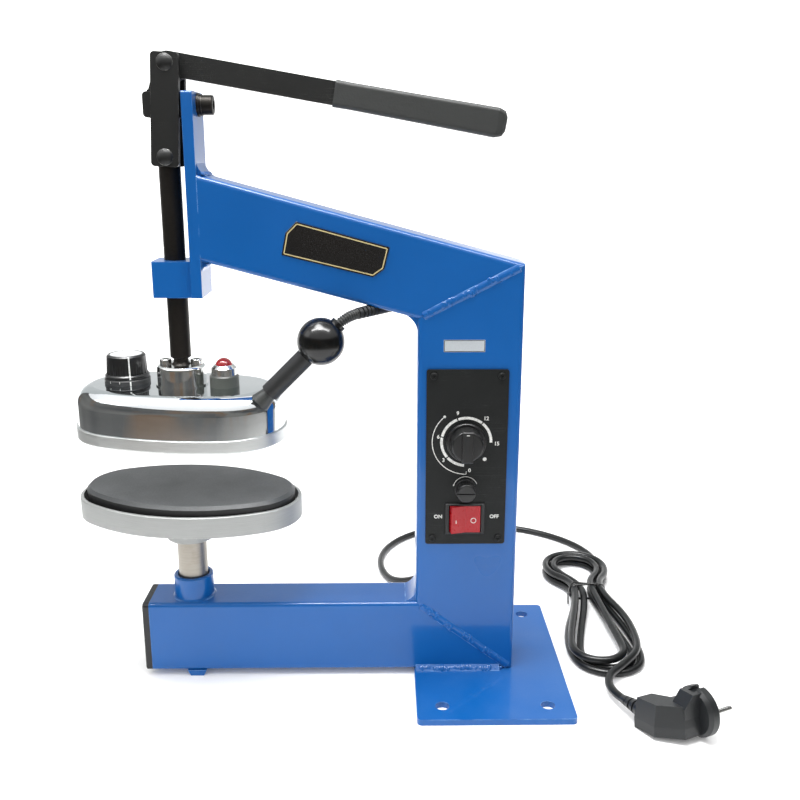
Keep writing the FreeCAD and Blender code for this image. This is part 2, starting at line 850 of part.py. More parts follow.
def link_plate(side):
    """One of the two side plates, holed for both pins."""
    low, high = sorted((side * plate_inner, side * plate_outer))
    length = link_pitch + 2 * link_end
    wire = rounded_rectangle(link_width, length, link_edge)
    plate = Part.Face(wire).extrude(Vector(0, 0, high - low))
    plate.Placement = Placement(Vector(0, high, link_pitch / 2), Rotation(Vector(1, 0, 0), 90))
    for z in (0, link_pitch):
        plate = plate.cut(rod(pin_diameter, (0, low, z), (0, high, z)))
    plate.Placement = link_frame().multiply(plate.Placement)
    return plate


def domed_head(y, side, z):
    """Rivet head: a low dome on a plate's face, in the links' own frame."""
    r = rivet_head / 2
    rise = rivet_head_height
    dome = (r ** 2 + rise ** 2) / (2 * rise)
    ball = Part.makeSphere(dome, Vector(0, y + side * (rise - dome), z))
    keep_low, keep_high = sorted((y, y + side * 2 * rise))
    return ball.common(box(-r - 1, r + 1, keep_low, keep_high, z - r - 1, z + r + 1))


def link_pin():
    """Pin at the top of the links, riveted over both plates."""
    pin = rod(pin_diameter, (0, -plate_outer, link_pitch), (0, plate_outer, link_pitch))
    heads = [domed_head(side * plate_outer, side, link_pitch) for side in (-1, 1)]
    pin = pin.fuse(heads)
    pin.Placement = link_frame()
    return pin


def link_spacers():
    """Rings on the pin that centre the lever between the plates."""
    rings = []
    inner = lever_thickness / 2 + pin_fit
    for side in (-1, 1):
        low, high = sorted((side * inner, side * plate_inner))
        ring = rod(rivet_head, (0, low, link_pitch), (0, high, link_pitch))
        ring = ring.cut(rod(pin_diameter, (0, low, link_pitch), (0, high, link_pitch)))
        ring.Placement = link_frame()
        rings.append(ring)
    return Part.makeCompound(rings)


def link_rivets():
    """Riveted ends of the lower pin, one in each plate."""
    ends = []
    for side in (-1, 1):
        low, high = sorted((side * plate_inner, side * plate_outer))
        stub = rod(pin_diameter, (0, low, 0), (0, high, 0))
        end = stub.fuse(domed_head(side * plate_outer, side, 0))
        end.Placement = link_frame()
        ends.append(end)
    return Part.makeCompound(ends)


def plunger_rod():
    """Round plunger with a domed top, a neck above the hub and a cross bore for its pin."""
    r = plunger_diameter / 2
    top = link_foot.z + plunger_crown
    hub_top = cover_top + hub_height
    crown = r - 1.0
    shaft = turned([
        (0, hub_top), (plunger_flare / 2, hub_top), (plunger_neck / 2, hub_top + 2),
        (plunger_neck / 2, plunger_foot - 1.5), (r, plunger_foot), (r, top - 1.5), (crown, top),
        (0, top)], press_x, 0)
    cross = rod(pin_diameter, (press_x, -r, link_foot.z), (press_x, r, link_foot.z))
    return shaft.cut(cross)


def plunger_pin():
    """Pin through the plunger at the foot of the links, cut to the rod's width."""
    r = plunger_diameter / 2
    pin = rod(pin_diameter, (press_x, -r, link_foot.z), (press_x, r, link_foot.z))
    around = rod(plunger_diameter, (press_x, 0, link_foot.z - r), (press_x, 0, link_foot.z + r))
    return pin.common(around)


def hub_screw_places():
    """Centres of the two hub screws."""
    return [(press_x - hub_screw_offset, 0), (press_x + hub_screw_offset, 0)]


def head_hub():
    """Turned hub that clamps the plunger to the head."""
    r = hub_diameter / 2
    top = cover_top + hub_height
    hub = rod(hub_diameter, (press_x, 0, cover_top), (press_x, 0, top))
    hub = hub.makeFillet(hub_edge, edges_at(hub, top))
    hub = hub.fuse(turned([(r - 1, cover_top), (r + 1.2, cover_top), (r + 1.2, cover_top + 1.2),
                           (r - 1, cover_top + 1.2)], press_x, 0))
    for x, y in hub_screw_places():
        hub = hub.cut(rod(hub_screw_diameter, (x, y, cover_top), (x, y, top)))
    return hub.removeSplitter()


def hub_screws():
    """Two socket screws through the hub and the cover into the pressure block."""
    screws = []
    top = cover_top + hub_height
    depth = heater_top + 8
    for x, y in hub_screw_places():
        head = rod(hub_screw_head, (x, y, top), (x, y, top + hub_screw_height))
        head = head.makeFillet(0.7, edges_at(head, top + hub_screw_height))
        socket = rod(hub_screw_head / 2, (x, y, top + hub_screw_height - 2),
                     (x, y, top + hub_screw_height))
        shank = rod(hub_screw_diameter, (x, y, depth), (x, y, top))
        screws.append(head.fuse(shank).cut(socket))
    return Part.makeCompound(screws)


def pressure_block():
    """Block inside the cover that passes the plunger's load to the heating plate."""
    inside = cover_top - cover_wall
    block = rod(pressure_block_diameter, (press_x, 0, heater_top), (press_x, 0, inside))
    for x, y in hub_screw_places():
        block = block.cut(rod(hub_screw_diameter, (x, y, heater_top + 8), (x, y, inside)))
    return block


def cover_solid(inset):
    """Outer form of the cover, drawn in by inset on all sides but the bottom."""
    a = heater_half_length - cover_inset - inset
    b = heater_half_width - cover_inset - inset
    r = heater_end_radius - cover_inset - inset
    top = cover_top - inset
    block = oval_block(a, b, r, heater_top, top, (head_x, head_y), head_yaw)
    return block.makeFillet(cover_edge - inset, edges_at(block, top))


def head_cover():
    """Pressed oval cover, open below, pierced for the hub screws, the lamp and the thermostat."""
    cover = cover_solid(0).cut(cover_solid(cover_wall))
    low = cover_top - 2 * cover_wall
    high = cover_top + 1
    for x, y in hub_screw_places():
        cover = cover.cut(rod(hub_screw_diameter, (x, y, low), (x, y, high)))
    cover = cover.cut(rod(spindle_diameter + 2, (thermostat_x, thermostat_y, low),
                          (thermostat_x, thermostat_y, high)))
    cover = cover.cut(rod(lamp_lens_diameter - 3, (lamp_x, lamp_y, low), (lamp_x, lamp_y, high)))
    axis = stem_axis()
    foot = Vector(stem_foot_x, stem_foot_y, stem_foot_z)
    return cover.cut(rod(stem_bore, foot - axis * 8, foot + axis * 8))


def element_channel(diameter):
    """Oval ring of round section in the plane of the heating plate's top."""
    path = oval(element_half_length, element_half_width, element_end_radius, heater_top,
                (head_x, head_y), head_yaw)
    side = path.Edges[0].firstVertex().Point
    tangent = path.Edges[0].tangentAt(path.Edges[0].FirstParameter)
    ring = Part.Wire([Part.Circle(side, tangent, diameter / 2).toShape()])
    return Part.Wire(path.Edges).makePipeShell([ring], True, True)


def heating_element():
    """Oval tubular element laid half deep in the plate."""
    return element_channel(element_diameter)


def heating_plate():
    """Flat oval plate with a rounded lower edge and a groove for the element."""
    block = oval_block(heater_half_length, heater_half_width, heater_end_radius, heater_bottom, heater_top,
                       (head_x, head_y), head_yaw)
    block = block.makeFillet(1.5, edges_at(block, heater_bottom))
    block = block.makeFillet(0.6, edges_at(block, heater_top))
    return block.cut(element_channel(element_diameter))


def thermostat_body():
    """Thermostat can under the cover, its spindle and the scale ring on the cover."""
    x, y = thermostat_x, thermostat_y
    inside = cover_top - cover_wall
    can = rod(thermostat_can_diameter, (x, y, inside - thermostat_can_height), (x, y, inside))
    neck = rod(spindle_diameter + 2, (x, y, inside), (x, y, cover_top))
    ring_top = cover_top + dial_ring_height
    r = dial_ring_diameter / 2
    ring = turned([(0, cover_top), (r, cover_top), (r, ring_top - 0.8), (r - 0.8, ring_top),
                   (0, ring_top)], x, y)
    spindle = rod(spindle_diameter, (x, y, ring_top), (x, y, ring_top + spindle_engagement))
    return can.fuse([neck, ring, spindle]).removeSplitter()


def thermostat_knob():
    """Fluted control knob with a skirt and a recessed top disc."""
    x, y = thermostat_x, thermostat_y
    base = cover_top + dial_ring_height + knob_lift
    skirt = knob_skirt_diameter / 2
    low = knob_diameter_low / 2
    high = knob_diameter_high / 2
    disc = knob_disc_diameter / 2
    knob = turned([
        (0, base), (skirt, base), (skirt, base + knob_skirt_height - 1),
        (skirt - 1, base + knob_skirt_height), (low, base + knob_skirt_height),
        (high, knob_top - 1.2), (high - 1.2, knob_top), (disc, knob_top),
        (disc, knob_top - knob_disc_recess), (0, knob_top - knob_disc_recess)], x, y)
    bore = rod(spindle_diameter + 2 * running_clearance, (x, y, base),
               (x, y, cover_top + dial_ring_height + spindle_engagement + knob_lift))
    flutes = []
    for i in range(24):
        turn = math.radians(15 * i)
        fx = x + (low + 0.9) * math.cos(turn)
        fy = y + (low + 0.9) * math.sin(turn)
        flutes.append(rod(3.0, (fx, fy, base + knob_skirt_height), (fx, fy, knob_top - 3)))
    return knob.cut(bore).cut(flutes)


def lamp_base():
    """Dark mounting base of the pilot lamp, with its stub through the cover."""
    x, y = lamp_x, lamp_y
    r = lamp_base_diameter / 2
    top = cover_top + lamp_base_height
    base = turned([(0, cover_top), (r, cover_top), (r, top - 1), (r - 1, top), (0, top)], x, y)
    stub = rod(lamp_lens_diameter - 3, (x, y, cover_top - 12), (x, y, cover_top))
    return base.fuse(stub)


def lamp_bezel():
    """Chrome bezel ring of the pilot lamp."""
    z0 = cover_top + lamp_base_height
    z1 = z0 + lamp_bezel_height
    r = lamp_bezel_diameter / 2
    bore = lamp_lens_diameter / 2
    return turned([(bore, z0), (r, z0), (r, z1 - 2.5), (r - 2.0, z1 - 0.4), (r - 2.6, z1), (bore, z1)],
                  lamp_x, lamp_y)


def lamp_lens():
    """Domed red lens held in the bezel."""
    z0 = cover_top + lamp_base_height
    z1 = z0 + lamp_bezel_height
    r = lamp_lens_diameter / 2
    stem = rod(lamp_lens_diameter, (lamp_x, lamp_y, z0), (lamp_x, lamp_y, z1))
    dome_r = (r ** 2 + lamp_lens_dome ** 2) / (2 * lamp_lens_dome)
    dome = Part.makeSphere(dome_r, Vector(lamp_x, lamp_y, z1 + lamp_lens_dome - dome_r))
    dome = dome.common(rod(lamp_lens_diameter, (lamp_x, lamp_y, z1), (lamp_x, lamp_y, z1 + 2 * r)))
    return stem.fuse(dome)


def ball_centre():
    """Centre of the handle's ball."""
    return Vector(ball_x, ball_y, ball_z)


def stem_axis():
    """Direction of the handle stem, from the cover's shoulder to the ball."""
    return (ball_centre() - Vector(stem_foot_x, stem_foot_y, stem_foot_z)).normalize()


def handle_cone():
    """Grey metal collar seated on the cover's rounded shoulder."""
    foot = Vector(stem_foot_x, stem_foot_y, stem_foot_z)
    axis = stem_axis()
    body = cone(stem_diameter + 1, cone_small, foot - axis * 3, foot + axis * cone_length)
    stud = rod(stem_bore, foot - axis * 8, foot)
    return body.cut(cover_solid(0)).fuse(stud)


def handle_stem():
    """Black insulating sleeve between the collar and the ball."""
    foot = Vector(stem_foot_x, stem_foot_y, stem_foot_z)
    axis = stem_axis()
    start = foot + axis * cone_length
    sleeve = rod(stem_diameter, start, ball_centre())
    ball = Part.makeSphere(ball_diameter / 2, ball_centre())
    return sleeve.cut(ball)


def conduit_axis():
    """Direction in which the conduit leaves the ball."""
    return (conduit_corner - ball_centre()).normalize()


def ball_knob():
    """Round knob with the conduit's collar moulded on, turned about the conduit's direction."""
    r = ball_diameter / 2
    neck = collar_diameter / 2
    top = r + collar_rise
    foot = Vector(neck, 0, math.sqrt(r ** 2 - neck ** 2))
    corners = [foot, Vector(neck, 0, top), Vector(0, 0, top), Vector(0, 0, -r)]
    edges = [Part.LineSegment(a, b).toShape() for a, b in zip(corners, corners[1:])]
    edges.append(Part.Arc(corners[-1], Vector(r, 0, 0), foot).toShape())
    ball = Part.Face(Part.Wire(edges)).revolve(Vector(0, 0, 0), Vector(0, 0, 1), 360)
    ball.Placement = Placement(ball_centre(), Rotation(Vector(0, 0, 1), conduit_axis()))
    return ball


def conduit_stations():
    """Centre points and directions along the conduit: run, bend, run."""
    start = ball_centre() + conduit_axis() * (ball_diameter / 2 + collar_rise)
    corner = conduit_corner
    end = relief_tip
    d1 = (corner - start).normalize()
    d2 = (end - corner).normalize()
    half_turn = math.acos(d1.dot(d2)) / 2
    tangent = min(conduit_bend * math.tan(half_turn), 0.9 * min((corner - start).Length,
                                                                (end - corner).Length))
    radius = tangent / math.tan(half_turn)
    arc_start = corner - d1 * tangent
    arc_end = corner + d2 * tangent
    inward = (d2 - d1 * d1.dot(d2)).normalize()
    centre = arc_start + inward * radius
    first = (arc_start - start).Length
    bend = radius * 2 * half_turn
    last = (end - arc_end).Length
    total = first + bend + last
    count = int(total / (conduit_rib_pitch / 2))
    stations = []
    for i in range(count + 1):
        s = total * i / count
        if s < first:
            stations.append((start + d1 * s, d1))
        elif s < first + bend:
            angle = (s - first) / radius
            spoke = d1 * math.sin(angle) - inward * math.cos(angle)
            heading = d1 * math.cos(angle) + inward * math.sin(angle)
            stations.append((centre + spoke * radius, heading))
        else:
            stations.append((arc_end + d2 * (s - first - bend), d2))
    return stations


def flex_conduit():
    """Ribbed flexible conduit from the ball to its strain relief under the arm."""
    outer = []
    inner = []
    steady = Vector(0, 1, 0)
    for i, (point, heading) in enumerate(conduit_stations()):
        radius = conduit_diameter / 2 - (conduit_rib_depth if i % 2 else 0)
        across = heading.cross(steady).normalize()
        for wires, size in ((outer, radius), (inner, conduit_bore / 2)):
            circle = Part.Circle(Vector(0, 0, 0), Vector(0, 0, 1), size)
            wire = Part.Wire([circle.toShape()])
            frame = Rotation(across, heading.cross(across), heading, "ZXY")
            wire.Placement = Placement(point, frame)
            wires.append(wire)
    return Part.makeLoft(outer, True, True).cut(Part.makeLoft(inner, True, True))


def conduit_relief():
    """Tapered, slotted strain relief seated on the upper arm's underside."""
    axis = relief_axis
    tip_diameter = conduit_diameter + relief_clearance
    body = cone(tip_diameter, relief_base, relief_tip, arm_port_centre + axis * relief_base)
    slots = []
    for i in range(relief_slots):
        near = relief_tip + axis * (relief_slot_start + relief_slot_pitch * i)
        far = near + axis * relief_slot_width
        size = tip_diameter + (relief_base - conduit_diameter) * i / relief_slots
        slots.append(rod(2 * relief_base, near, far).cut(rod(size - 2 * relief_slot_depth, near, far)))
    body = body.cut(slots)
    normal = (slope_sin, 0, slope_cos)
    return trim(body, tuple(arm_port_centre), normal)


def dish_wall(inset):
    """Sizes of the platen's oval, drawn in by inset."""
    return dish_half_length - inset, dish_half_width - inset, dish_end_radius - inset


def platen_dish():
    """Cast oval dish with a raised rim, a tapered underside and a boss."""
    centre = (dish_x, dish_y)
    rim = oval_block(*dish_wall(0), dish_rim_low, dish_rim_top, centre, dish_yaw)
    rim = rim.makeFillet(1.2, edges_at(rim, dish_rim_top))
    pocket_low = dish_rim_low + dish_floor
    rim = rim.cut(oval_block(*dish_wall(dish_rim_wall), pocket_low, dish_rim_top + 1, centre, dish_yaw))
    boss_r = dish_boss_diameter / 2
    boss_top = dish_rim_low - dish_taper_height
    sections = [
        oval(*dish_wall(0), dish_rim_low, centre, dish_yaw),
        oval(*dish_wall(dish_taper_inset), dish_rim_low - 3.5, centre, dish_yaw),
        oval(boss_r + 8, boss_r + 4, boss_r + 3, boss_top, (press_x, 0), dish_yaw),
    ]
    under = Part.makeLoft(sections, True, True)
    boss = rod(dish_boss_diameter, (press_x, 0, dish_boss_low), (press_x, 0, dish_rim_low))
    boss = boss.makeFillet(1.2, edges_at(boss, dish_boss_low))
    body = rim.fuse([under, boss]).removeSplitter()
    socket = rod(platen_post_diameter, (press_x, 0, dish_boss_low),
                 (press_x, 0, dish_boss_low + dish_socket_depth))
    return body.cut(socket)


def rubber_pad():
    """Bevelled rubber pad that lies in the dish."""
    inset = dish_rim_wall + pad_side_gap
    low = dish_rim_low + dish_floor
    block = oval_block(*dish_wall(inset), low, pad_top, (dish_x, dish_y), pad_yaw)
    return block.makeChamfer(pad_bevel, edges_at(block, pad_top))


def control_panel():
    """Flat panel with round corners on the column's front."""
    width = panel_right - panel_left
    height = panel_top - panel_bottom
    plate = Part.Face(rounded_rectangle(width, height, panel_corner)).extrude(Vector(0, 0, panel_thickness))
    centre = Vector((panel_left + panel_right) / 2, -half_depth, (panel_bottom + panel_top) / 2)
    plate.Placement = Placement(centre, Rotation(Vector(1, 0, 0), 90))
    for cutter in control_cutouts(panel_thickness + 0.5):
        plate = plate.cut(cutter)
    for x, z in panel_screw_places():
        plate = plate.cut(rod(panel_screw_diameter, (x, panel_face, z), (x, -half_depth, z)))
    return plate


def panel_screws():
    """Four pan-head screws."""
    screws = []
    for x, z in panel_screw_places():
        head = rod(panel_screw_head, (x, panel_face - panel_screw_height, z), (x, panel_face, z))
        front = [e for e in head.Edges if e.BoundBox.YMax < panel_face - panel_screw_height + 0.01]
        head = head.makeFillet(0.9, front)
        cross_a = box(x - 1.6, x + 1.6, panel_face - 3, panel_face - 0.9, z - 0.35, z + 0.35)
        cross_b = box(x - 0.35, x + 0.35, panel_face - 3, panel_face - 0.9, z - 1.6, z + 1.6)
        shank = rod(panel_screw_diameter, (x, panel_face, z), (x, panel_face + panel_screw_length, z))
        screws.append(head.cut([cross_a, cross_b]).fuse(shank))
    return Part.makeCompound(screws)


def timer_body():
    """Timer movement behind the panel, with its bush and spindle."""
    x = control_x
    back = -half_depth + tube_wall
    w = timer_can_width / 2
    h = timer_can_height / 2
    can = box(x - w, x + w, back, back + timer_can_depth, timer_z - h, timer_z + h)
    bush = rod(timer_bush_diameter, (x, panel_face, timer_z), (x, back, timer_z))
    spindle = rod(spindle_diameter, (x, panel_face - timer_height + 4, timer_z), (x, panel_face, timer_z))
    return can.fuse([bush, spindle])


def timer_knob():
    """Knob with a thin skirt and a raised grip bar."""
    x = control_x
    base = panel_face - control_lift
    front = panel_face - timer_height
    skirt = rod(timer_diameter, (x, base, timer_z), (x, base - timer_skirt_height, timer_z))
    rim = [e for e in skirt.Edges if e.BoundBox.YMax < base - timer_skirt_height + 0.01]
    skirt = skirt.makeFillet(1.2, rim)
    body = cone(timer_diameter - 4, timer_diameter - 7, (x, base, timer_z), (x, front, timer_z))
    edge = [e for e in body.Edges if e.BoundBox.YMax < front + 0.01]
    body = body.makeFillet(1.5, edge)
    half = timer_grip_width / 2
    reach = timer_diameter / 2 - 3
    bar = box(x - half, x + half, front - timer_grip_rise, base - timer_skirt_height / 2,
              timer_z - reach, timer_z + reach)
    nose = [e for e in bar.Edges if e.BoundBox.YMax < front - timer_grip_rise + 0.01]
    bar = bar.makeFillet(1.2, nose)
    bore = rod(spindle_diameter + 2 * running_clearance, (x, base + 1, timer_z),
               (x, front + 3.5, timer_z))
    return skirt.fuse([body, bar]).cut(bore)


def fuse_holder():
    """Fuse holder: flange on the panel, body behind it."""
    x = control_x
    front = panel_face - fuse_flange_height
    flange = rod(fuse_flange_diameter, (x, front, fuse_z), (x, panel_face, fuse_z))
    flange = flange.makeFillet(0.8, [e for e in flange.Edges if e.BoundBox.YMax < front + 0.01])
    body = rod(fuse_body_diameter, (x, panel_face, fuse_z), (x, panel_face + fuse_body_depth, fuse_z))
    peg = rod(fuse_body_diameter / 2, (x, front - 5, fuse_z), (x, front, fuse_z))
    return flange.fuse([body, peg])


def fuse_cap():
    """Fluted cap that turns on the fuse holder."""
    x = control_x
    base = panel_face - fuse_flange_height - control_lift
    front = base - fuse_cap_height
    cap = rod(fuse_cap_diameter, (x, front, fuse_z), (x, base, fuse_z))
    cap = cap.makeFillet(1.2, [e for e in cap.Edges if e.BoundBox.YMax < front + 0.01])
    r = fuse_cap_diameter / 2
    flutes = []
    for i in range(fuse_flutes):
        turn = 2 * math.pi * i / fuse_flutes
        fx = x + (r + 0.35) * math.cos(turn)
        fz = fuse_z + (r + 0.35) * math.sin(turn)
        flutes.append(rod(1.4, (fx, front + 2, fz), (fx, base, fz)))
    slot = box(x - r, x + r, front - 1, front + 1.2, fuse_z - 0.7, fuse_z + 0.7)
    peg = fuse_body_diameter / 2 + 2 * running_clearance
    bore = rod(peg, (x, base, fuse_z), (x, panel_face - fuse_flange_height - 5.5, fuse_z))
    return cap.cut(flutes + [slot, bore])


def switch_housing():
    """Rocker switch body with its bezel and the well that the rocker sits in."""
    x = control_x
    front = panel_face - switch_flange
    w = switch_width / 2
    h = switch_height / 2
    bezel = box(x - w, x + w, front, panel_face, switch_z - h, switch_z + h)
    bezel = bezel.makeFillet(0.9, [e for e in bezel.Edges if e.BoundBox.YMax < front + 0.01])
    w = switch_body_width / 2
    h = switch_body_height / 2
    body = box(x - w, x + w, panel_face, panel_face + switch_body_depth, switch_z - h, switch_z + h)
    w = rocker_width / 2 + rocker_gap
    h = rocker_height / 2 + rocker_gap
    well = box(x - w, x + w, front, front + switch_well, switch_z - h, switch_z + h)
    wall = switch_body_height / 2
    pivot_y = front + rocker_pivot_depth
    pin = rod(rocker_pin_diameter, (x, pivot_y, switch_z - wall), (x, pivot_y, switch_z + wall))
    return bezel.fuse(body).cut(well).fuse(pin)


def switch_rocker():
    """Rocker with two flat faces that meet in a shallow V, pressed in at its right end at rest."""
    tilt = math.radians(rocker_tilt)
    w = rocker_width / 2
    h = rocker_height / 2
    flush = rocker_pivot_depth + rocker_proud
    crown = flush + w * math.tan(tilt)
    outline = [(w - 0.9, crown), (0, flush), (-w + 0.9, crown), (-w + 0.3, -1.5),
               (-w * 0.45, -rocker_depth), (w * 0.45, -rocker_depth), (w - 0.3, -1.5)]
    pivot_y = panel_face - switch_flange + rocker_pivot_depth
    rocker = sheet_z([(x, -y) for x, y in outline], switch_z - h, switch_z + h)
    ends = [e for e in rocker.Edges if e.BoundBox.ZLength > h]
    rocker = rocker.makeFillet(0.5, [e for e in ends if abs(e.BoundBox.XMin) > w / 2])
    bore = rocker_pin_diameter + 2 * running_clearance
    rocker = rocker.cut(rod(bore, (0, 0, switch_z - h), (0, 0, switch_z + h)))
    rocker.Placement = Placement(Vector(control_x, pivot_y, 0), Rotation(Vector(0, 0, 1), rocker_tilt))
    return rocker


def cord_gland():
    """Moulded gland in the column's rear face, with a tapered nose round the cord."""
    z = cord_exit_z
    x = cord_exit_x
    y0 = half_depth
    y1 = y0 + gland_flange_height
    inner = rod(gland_base_diameter, (x, y0 - gland_body_depth, z), (x, y0, z))
    flange = rod(gland_flange_diameter, (x, y0, z), (x, y1, z))
    flange = flange.makeFillet(1.0, [e for e in flange.Edges if e.BoundBox.YMin > y1 - 0.01])
    nose = cone(gland_base_diameter, cord_diameter + 1.4, (x, y1, z), (x, gland_end_y, z))
    slots = []
    for i in range(4):
        y = y1 + 5 + 5 * i
        ring = rod(gland_base_diameter + 4, (x, y, z), (x, y + 2, z))
        ring = ring.cut(rod(cord_diameter + 1, (x, y, z), (x, y + 2, z)))
        slots.append(ring)
    return inner.fuse([flange, nose]).cut(slots)


def rounded_path(points):
    """Wire of straight runs joined by tangent arcs; returns it with its radii."""
    points = [Vector(*p) for p in points]
    edges = []
    radii = []
    current = points[0]
    for before, corner, after in zip(points, points[1:], points[2:]):
        d1 = (corner - before).normalize()
        d2 = (after - corner).normalize()
        run = min((corner - before).Length, (after - corner).Length)
        half_turn = math.acos(max(-1.0, min(1.0, d1.dot(d2)))) / 2
        tangent = 0.45 * run
        radius = tangent / math.tan(half_turn)
        radii.append(radius)
        start = corner - d1 * tangent
        end = corner + d2 * tangent
        bisector = (d2 - d1).normalize()
        middle = corner + bisector * (radius / math.cos(half_turn) - radius)
        edges.append(Part.LineSegment(current, start).toShape())
        edges.append(Part.Arc(start, middle, end).toShape())
        current = end
    edges.append(Part.LineSegment(current, points[-1]).toShape())
    return Part.Wire(edges), radii


def cord_tube(path, start, heading):
    """Round cord along a wire."""
    ring = Part.Wire([Part.Circle(start, heading, cord_radius).toShape()])
    return path.makePipeShell([ring], True, False)


def power_cord():
    """Free cord from the gland, round the back of the column, to the hank."""
    first = (cord_exit_x, gland_end_y, cord_exit_z)
    last = (hank_x + hank_outer, hank_upper_y, cord_radius)
    route = [first] + cord_route + [last]
    path, radii = rounded_path(route)
    print("cord radii", [round(r, 1) for r in radii])
    print("cord length", round(path.Length, 1))
    solid = cord_tube(path, Vector(*first), Vector(0, 1, 0))
    expected = math.pi * cord_radius ** 2 * path.Length
    print("cord volume ratio", round(solid.Volume / expected, 4))
    return solid


def biarc(p1, t1, p2, t2):
    """Two tangent arcs from p1, heading t1, to p2, heading t2."""
    v = p2 - p1
    t = t1 + t2
    spread = 2 * (1 - t1.dot(t2))
    if spread < 1e-6:
        d = v.dot(v) / (4 * v.dot(t1))
    else:
        d = (-v.dot(t) + math.sqrt(v.dot(t) ** 2 + spread * v.dot(v))) / spread
    joint = (p1 + p2 + (t1 - t2) * d) * 0.5
    return [half_arc(p1, t1, joint), half_arc(p2, t2 * -1, joint, True)]


def half_arc(start, heading, end, backwards=False):
    """Arc from start, leaving along heading, to end, or a line where they are in line."""
    chord = end - start
    normal = chord.cross(heading)
    if normal.Length < 1e-5 * chord.Length:
        return Part.LineSegment(*((end, start) if backwards else (start, end))).toShape()
    across = heading.cross(normal).normalize()
    if across.dot(chord) < 0:
        across = across * -1
    radius = chord.dot(chord) / (2 * chord.dot(across))
    centre = start + across * radius
    middle_dir = ((start - centre) + (end - centre))
    if middle_dir.Length < 1e-6:
        middle_dir = heading
    if chord.dot(heading) < 0:
        middle_dir = middle_dir * -1
    middle = centre + middle_dir.normalize() * radius
    points = (end, middle, start) if backwards else (start, middle, end)
    return Part.Arc(*points).toShape()


def hank_waypoints():
    """Places and headings along the hank: four runs down, three runs up, in two layers."""
    low = cord_radius
    high = cord_radius + hank_layer
    down = Vector(0, -1, 0)
    up = Vector(0, 1, 0)
    left = Vector(-1, 0, 0)
    right = Vector(1, 0, 0)
    waist_x = hank_x + hank_waist_shift
    step = hank_step
    points = []

    def pass_waist(column, z, heading):
        x = waist_x + (column - 1.5) * step
        points.append((Vector(x, hank_waist_y, z + hank_waist_lift), heading))

    def fold(level, start, end, z, heading_in, side):
        radius = abs(end - start) / 2
        middle = (start + end) / 2
        points.append((Vector(hank_x + start, level, z), heading_in))
        apex = level + radius * (1 if heading_in.y > 0 else -1)
        points.append((Vector(hank_x + middle, apex, z), side))
        points.append((Vector(hank_x + end, level, z), heading_in * -1))

    middle_high = (low + high) / 2
    tight = hank_inner * 2 - hank_outer
    points.append((Vector(hank_x + hank_outer, hank_upper_y, low), down))
    pass_waist(3, low, down)
    fold(hank_lower_y, hank_outer, -hank_outer, low, down, left)
    pass_waist(0, low, up)
    fold(hank_upper_y, -hank_outer, hank_inner, low, up, right)
    pass_waist(2, low, down)
    fold(hank_lower_y, hank_inner, -hank_inner, low, down, left)
    pass_waist(1, middle_high, up)
    fold(hank_upper_y, -hank_inner, hank_inner, high, up, right)
    pass_waist(2, high, down)
    fold(hank_lower_y, tight, -hank_outer, high, down, left)
    pass_waist(0, high, up)
    fold(hank_upper_y, -hank_outer, hank_outer, high, up, right)
    pass_waist(3, high, down)
    for x, y, fall, heading in hank_tail:
        points.append((Vector(hank_x + x, y, high - fall), Vector(*heading).normalize()))
    points.append((Vector(plug_start[0], plug_start[1], plug_start_z), plug_exit_direction() * -1))
    return points


def hank_path():
    """The hank's centre line as arcs."""
    points = hank_waypoints()
    edges = []
    for (p1, t1), (p2, t2) in zip(points, points[1:]):
        edges.extend(biarc(p1, t1, p2, t2))
    return edges


def least_gap(edges):
    """Smallest clear distance between stretches of the cord that aren't next to each other."""
    samples = []
    for edge in edges:
        count = max(3, int(edge.Length / 2.5))
        samples.extend(edge.discretize(count + 1)[:-1])
    travelled = [0.0]
    for a, b in zip(samples, samples[1:]):
        travelled.append(travelled[-1] + (b - a).Length)
    best = 1e9
    where = None
    for i, a in enumerate(samples):
        for j in range(i + 1, len(samples)):
            if travelled[j] - travelled[i] > 3 * cord_diameter:
                gap = (samples[j] - a).Length
                if gap < best:
                    best = gap
                    where = a
    return best - cord_diameter, where


def cord_hank():
    """One unbroken tube wound as a hank."""
    edges = hank_path()
    gap, where = least_gap(edges)
    radii = [e.Curve.Radius for e in edges if hasattr(e.Curve, "Radius")]
    path = Part.Wire(edges)
    print("hank least gap", round(gap, 2), "near", [round(c, 1) for c in where])
    print("hank least radius", round(min(radii), 1), "length", round(path.Length, 1))
    start = Vector(hank_x + hank_outer, hank_upper_y, cord_radius)
    ring = Part.Wire([Part.Circle(start, Vector(0, -1, 0), cord_radius).toShape()])
    solid = path.makePipeShell([ring], True, False)
    print("hank volume ratio", round(solid.Volume / (math.pi * cord_radius ** 2 * path.Length), 4))
    return solid


def cord_tie():
    """Flat tie round the hank's waist."""
    inner_w = 3 * hank_step + cord_diameter - 2 * tie_bite
    inner_h = hank_layer + cord_diameter - 2 * tie_bite
    centre_z = cord_radius + hank_waist_lift + hank_layer / 2
    outer = Part.Face(rounded_rectangle(
        inner_w + 2 * tie_thickness, inner_h + 2 * tie_thickness, cord_radius + tie_thickness))
    inner = Part.Face(rounded_rectangle(inner_w, inner_h, cord_radius))
    band = outer.cut(inner).extrude(Vector(0, 0, tie_width))
    place = Vector(hank_x + hank_waist_shift, hank_waist_y + tie_width / 2, centre_z)
    band.Placement = Placement(place, Rotation(Vector(1, 0, 0), 90))
    return band


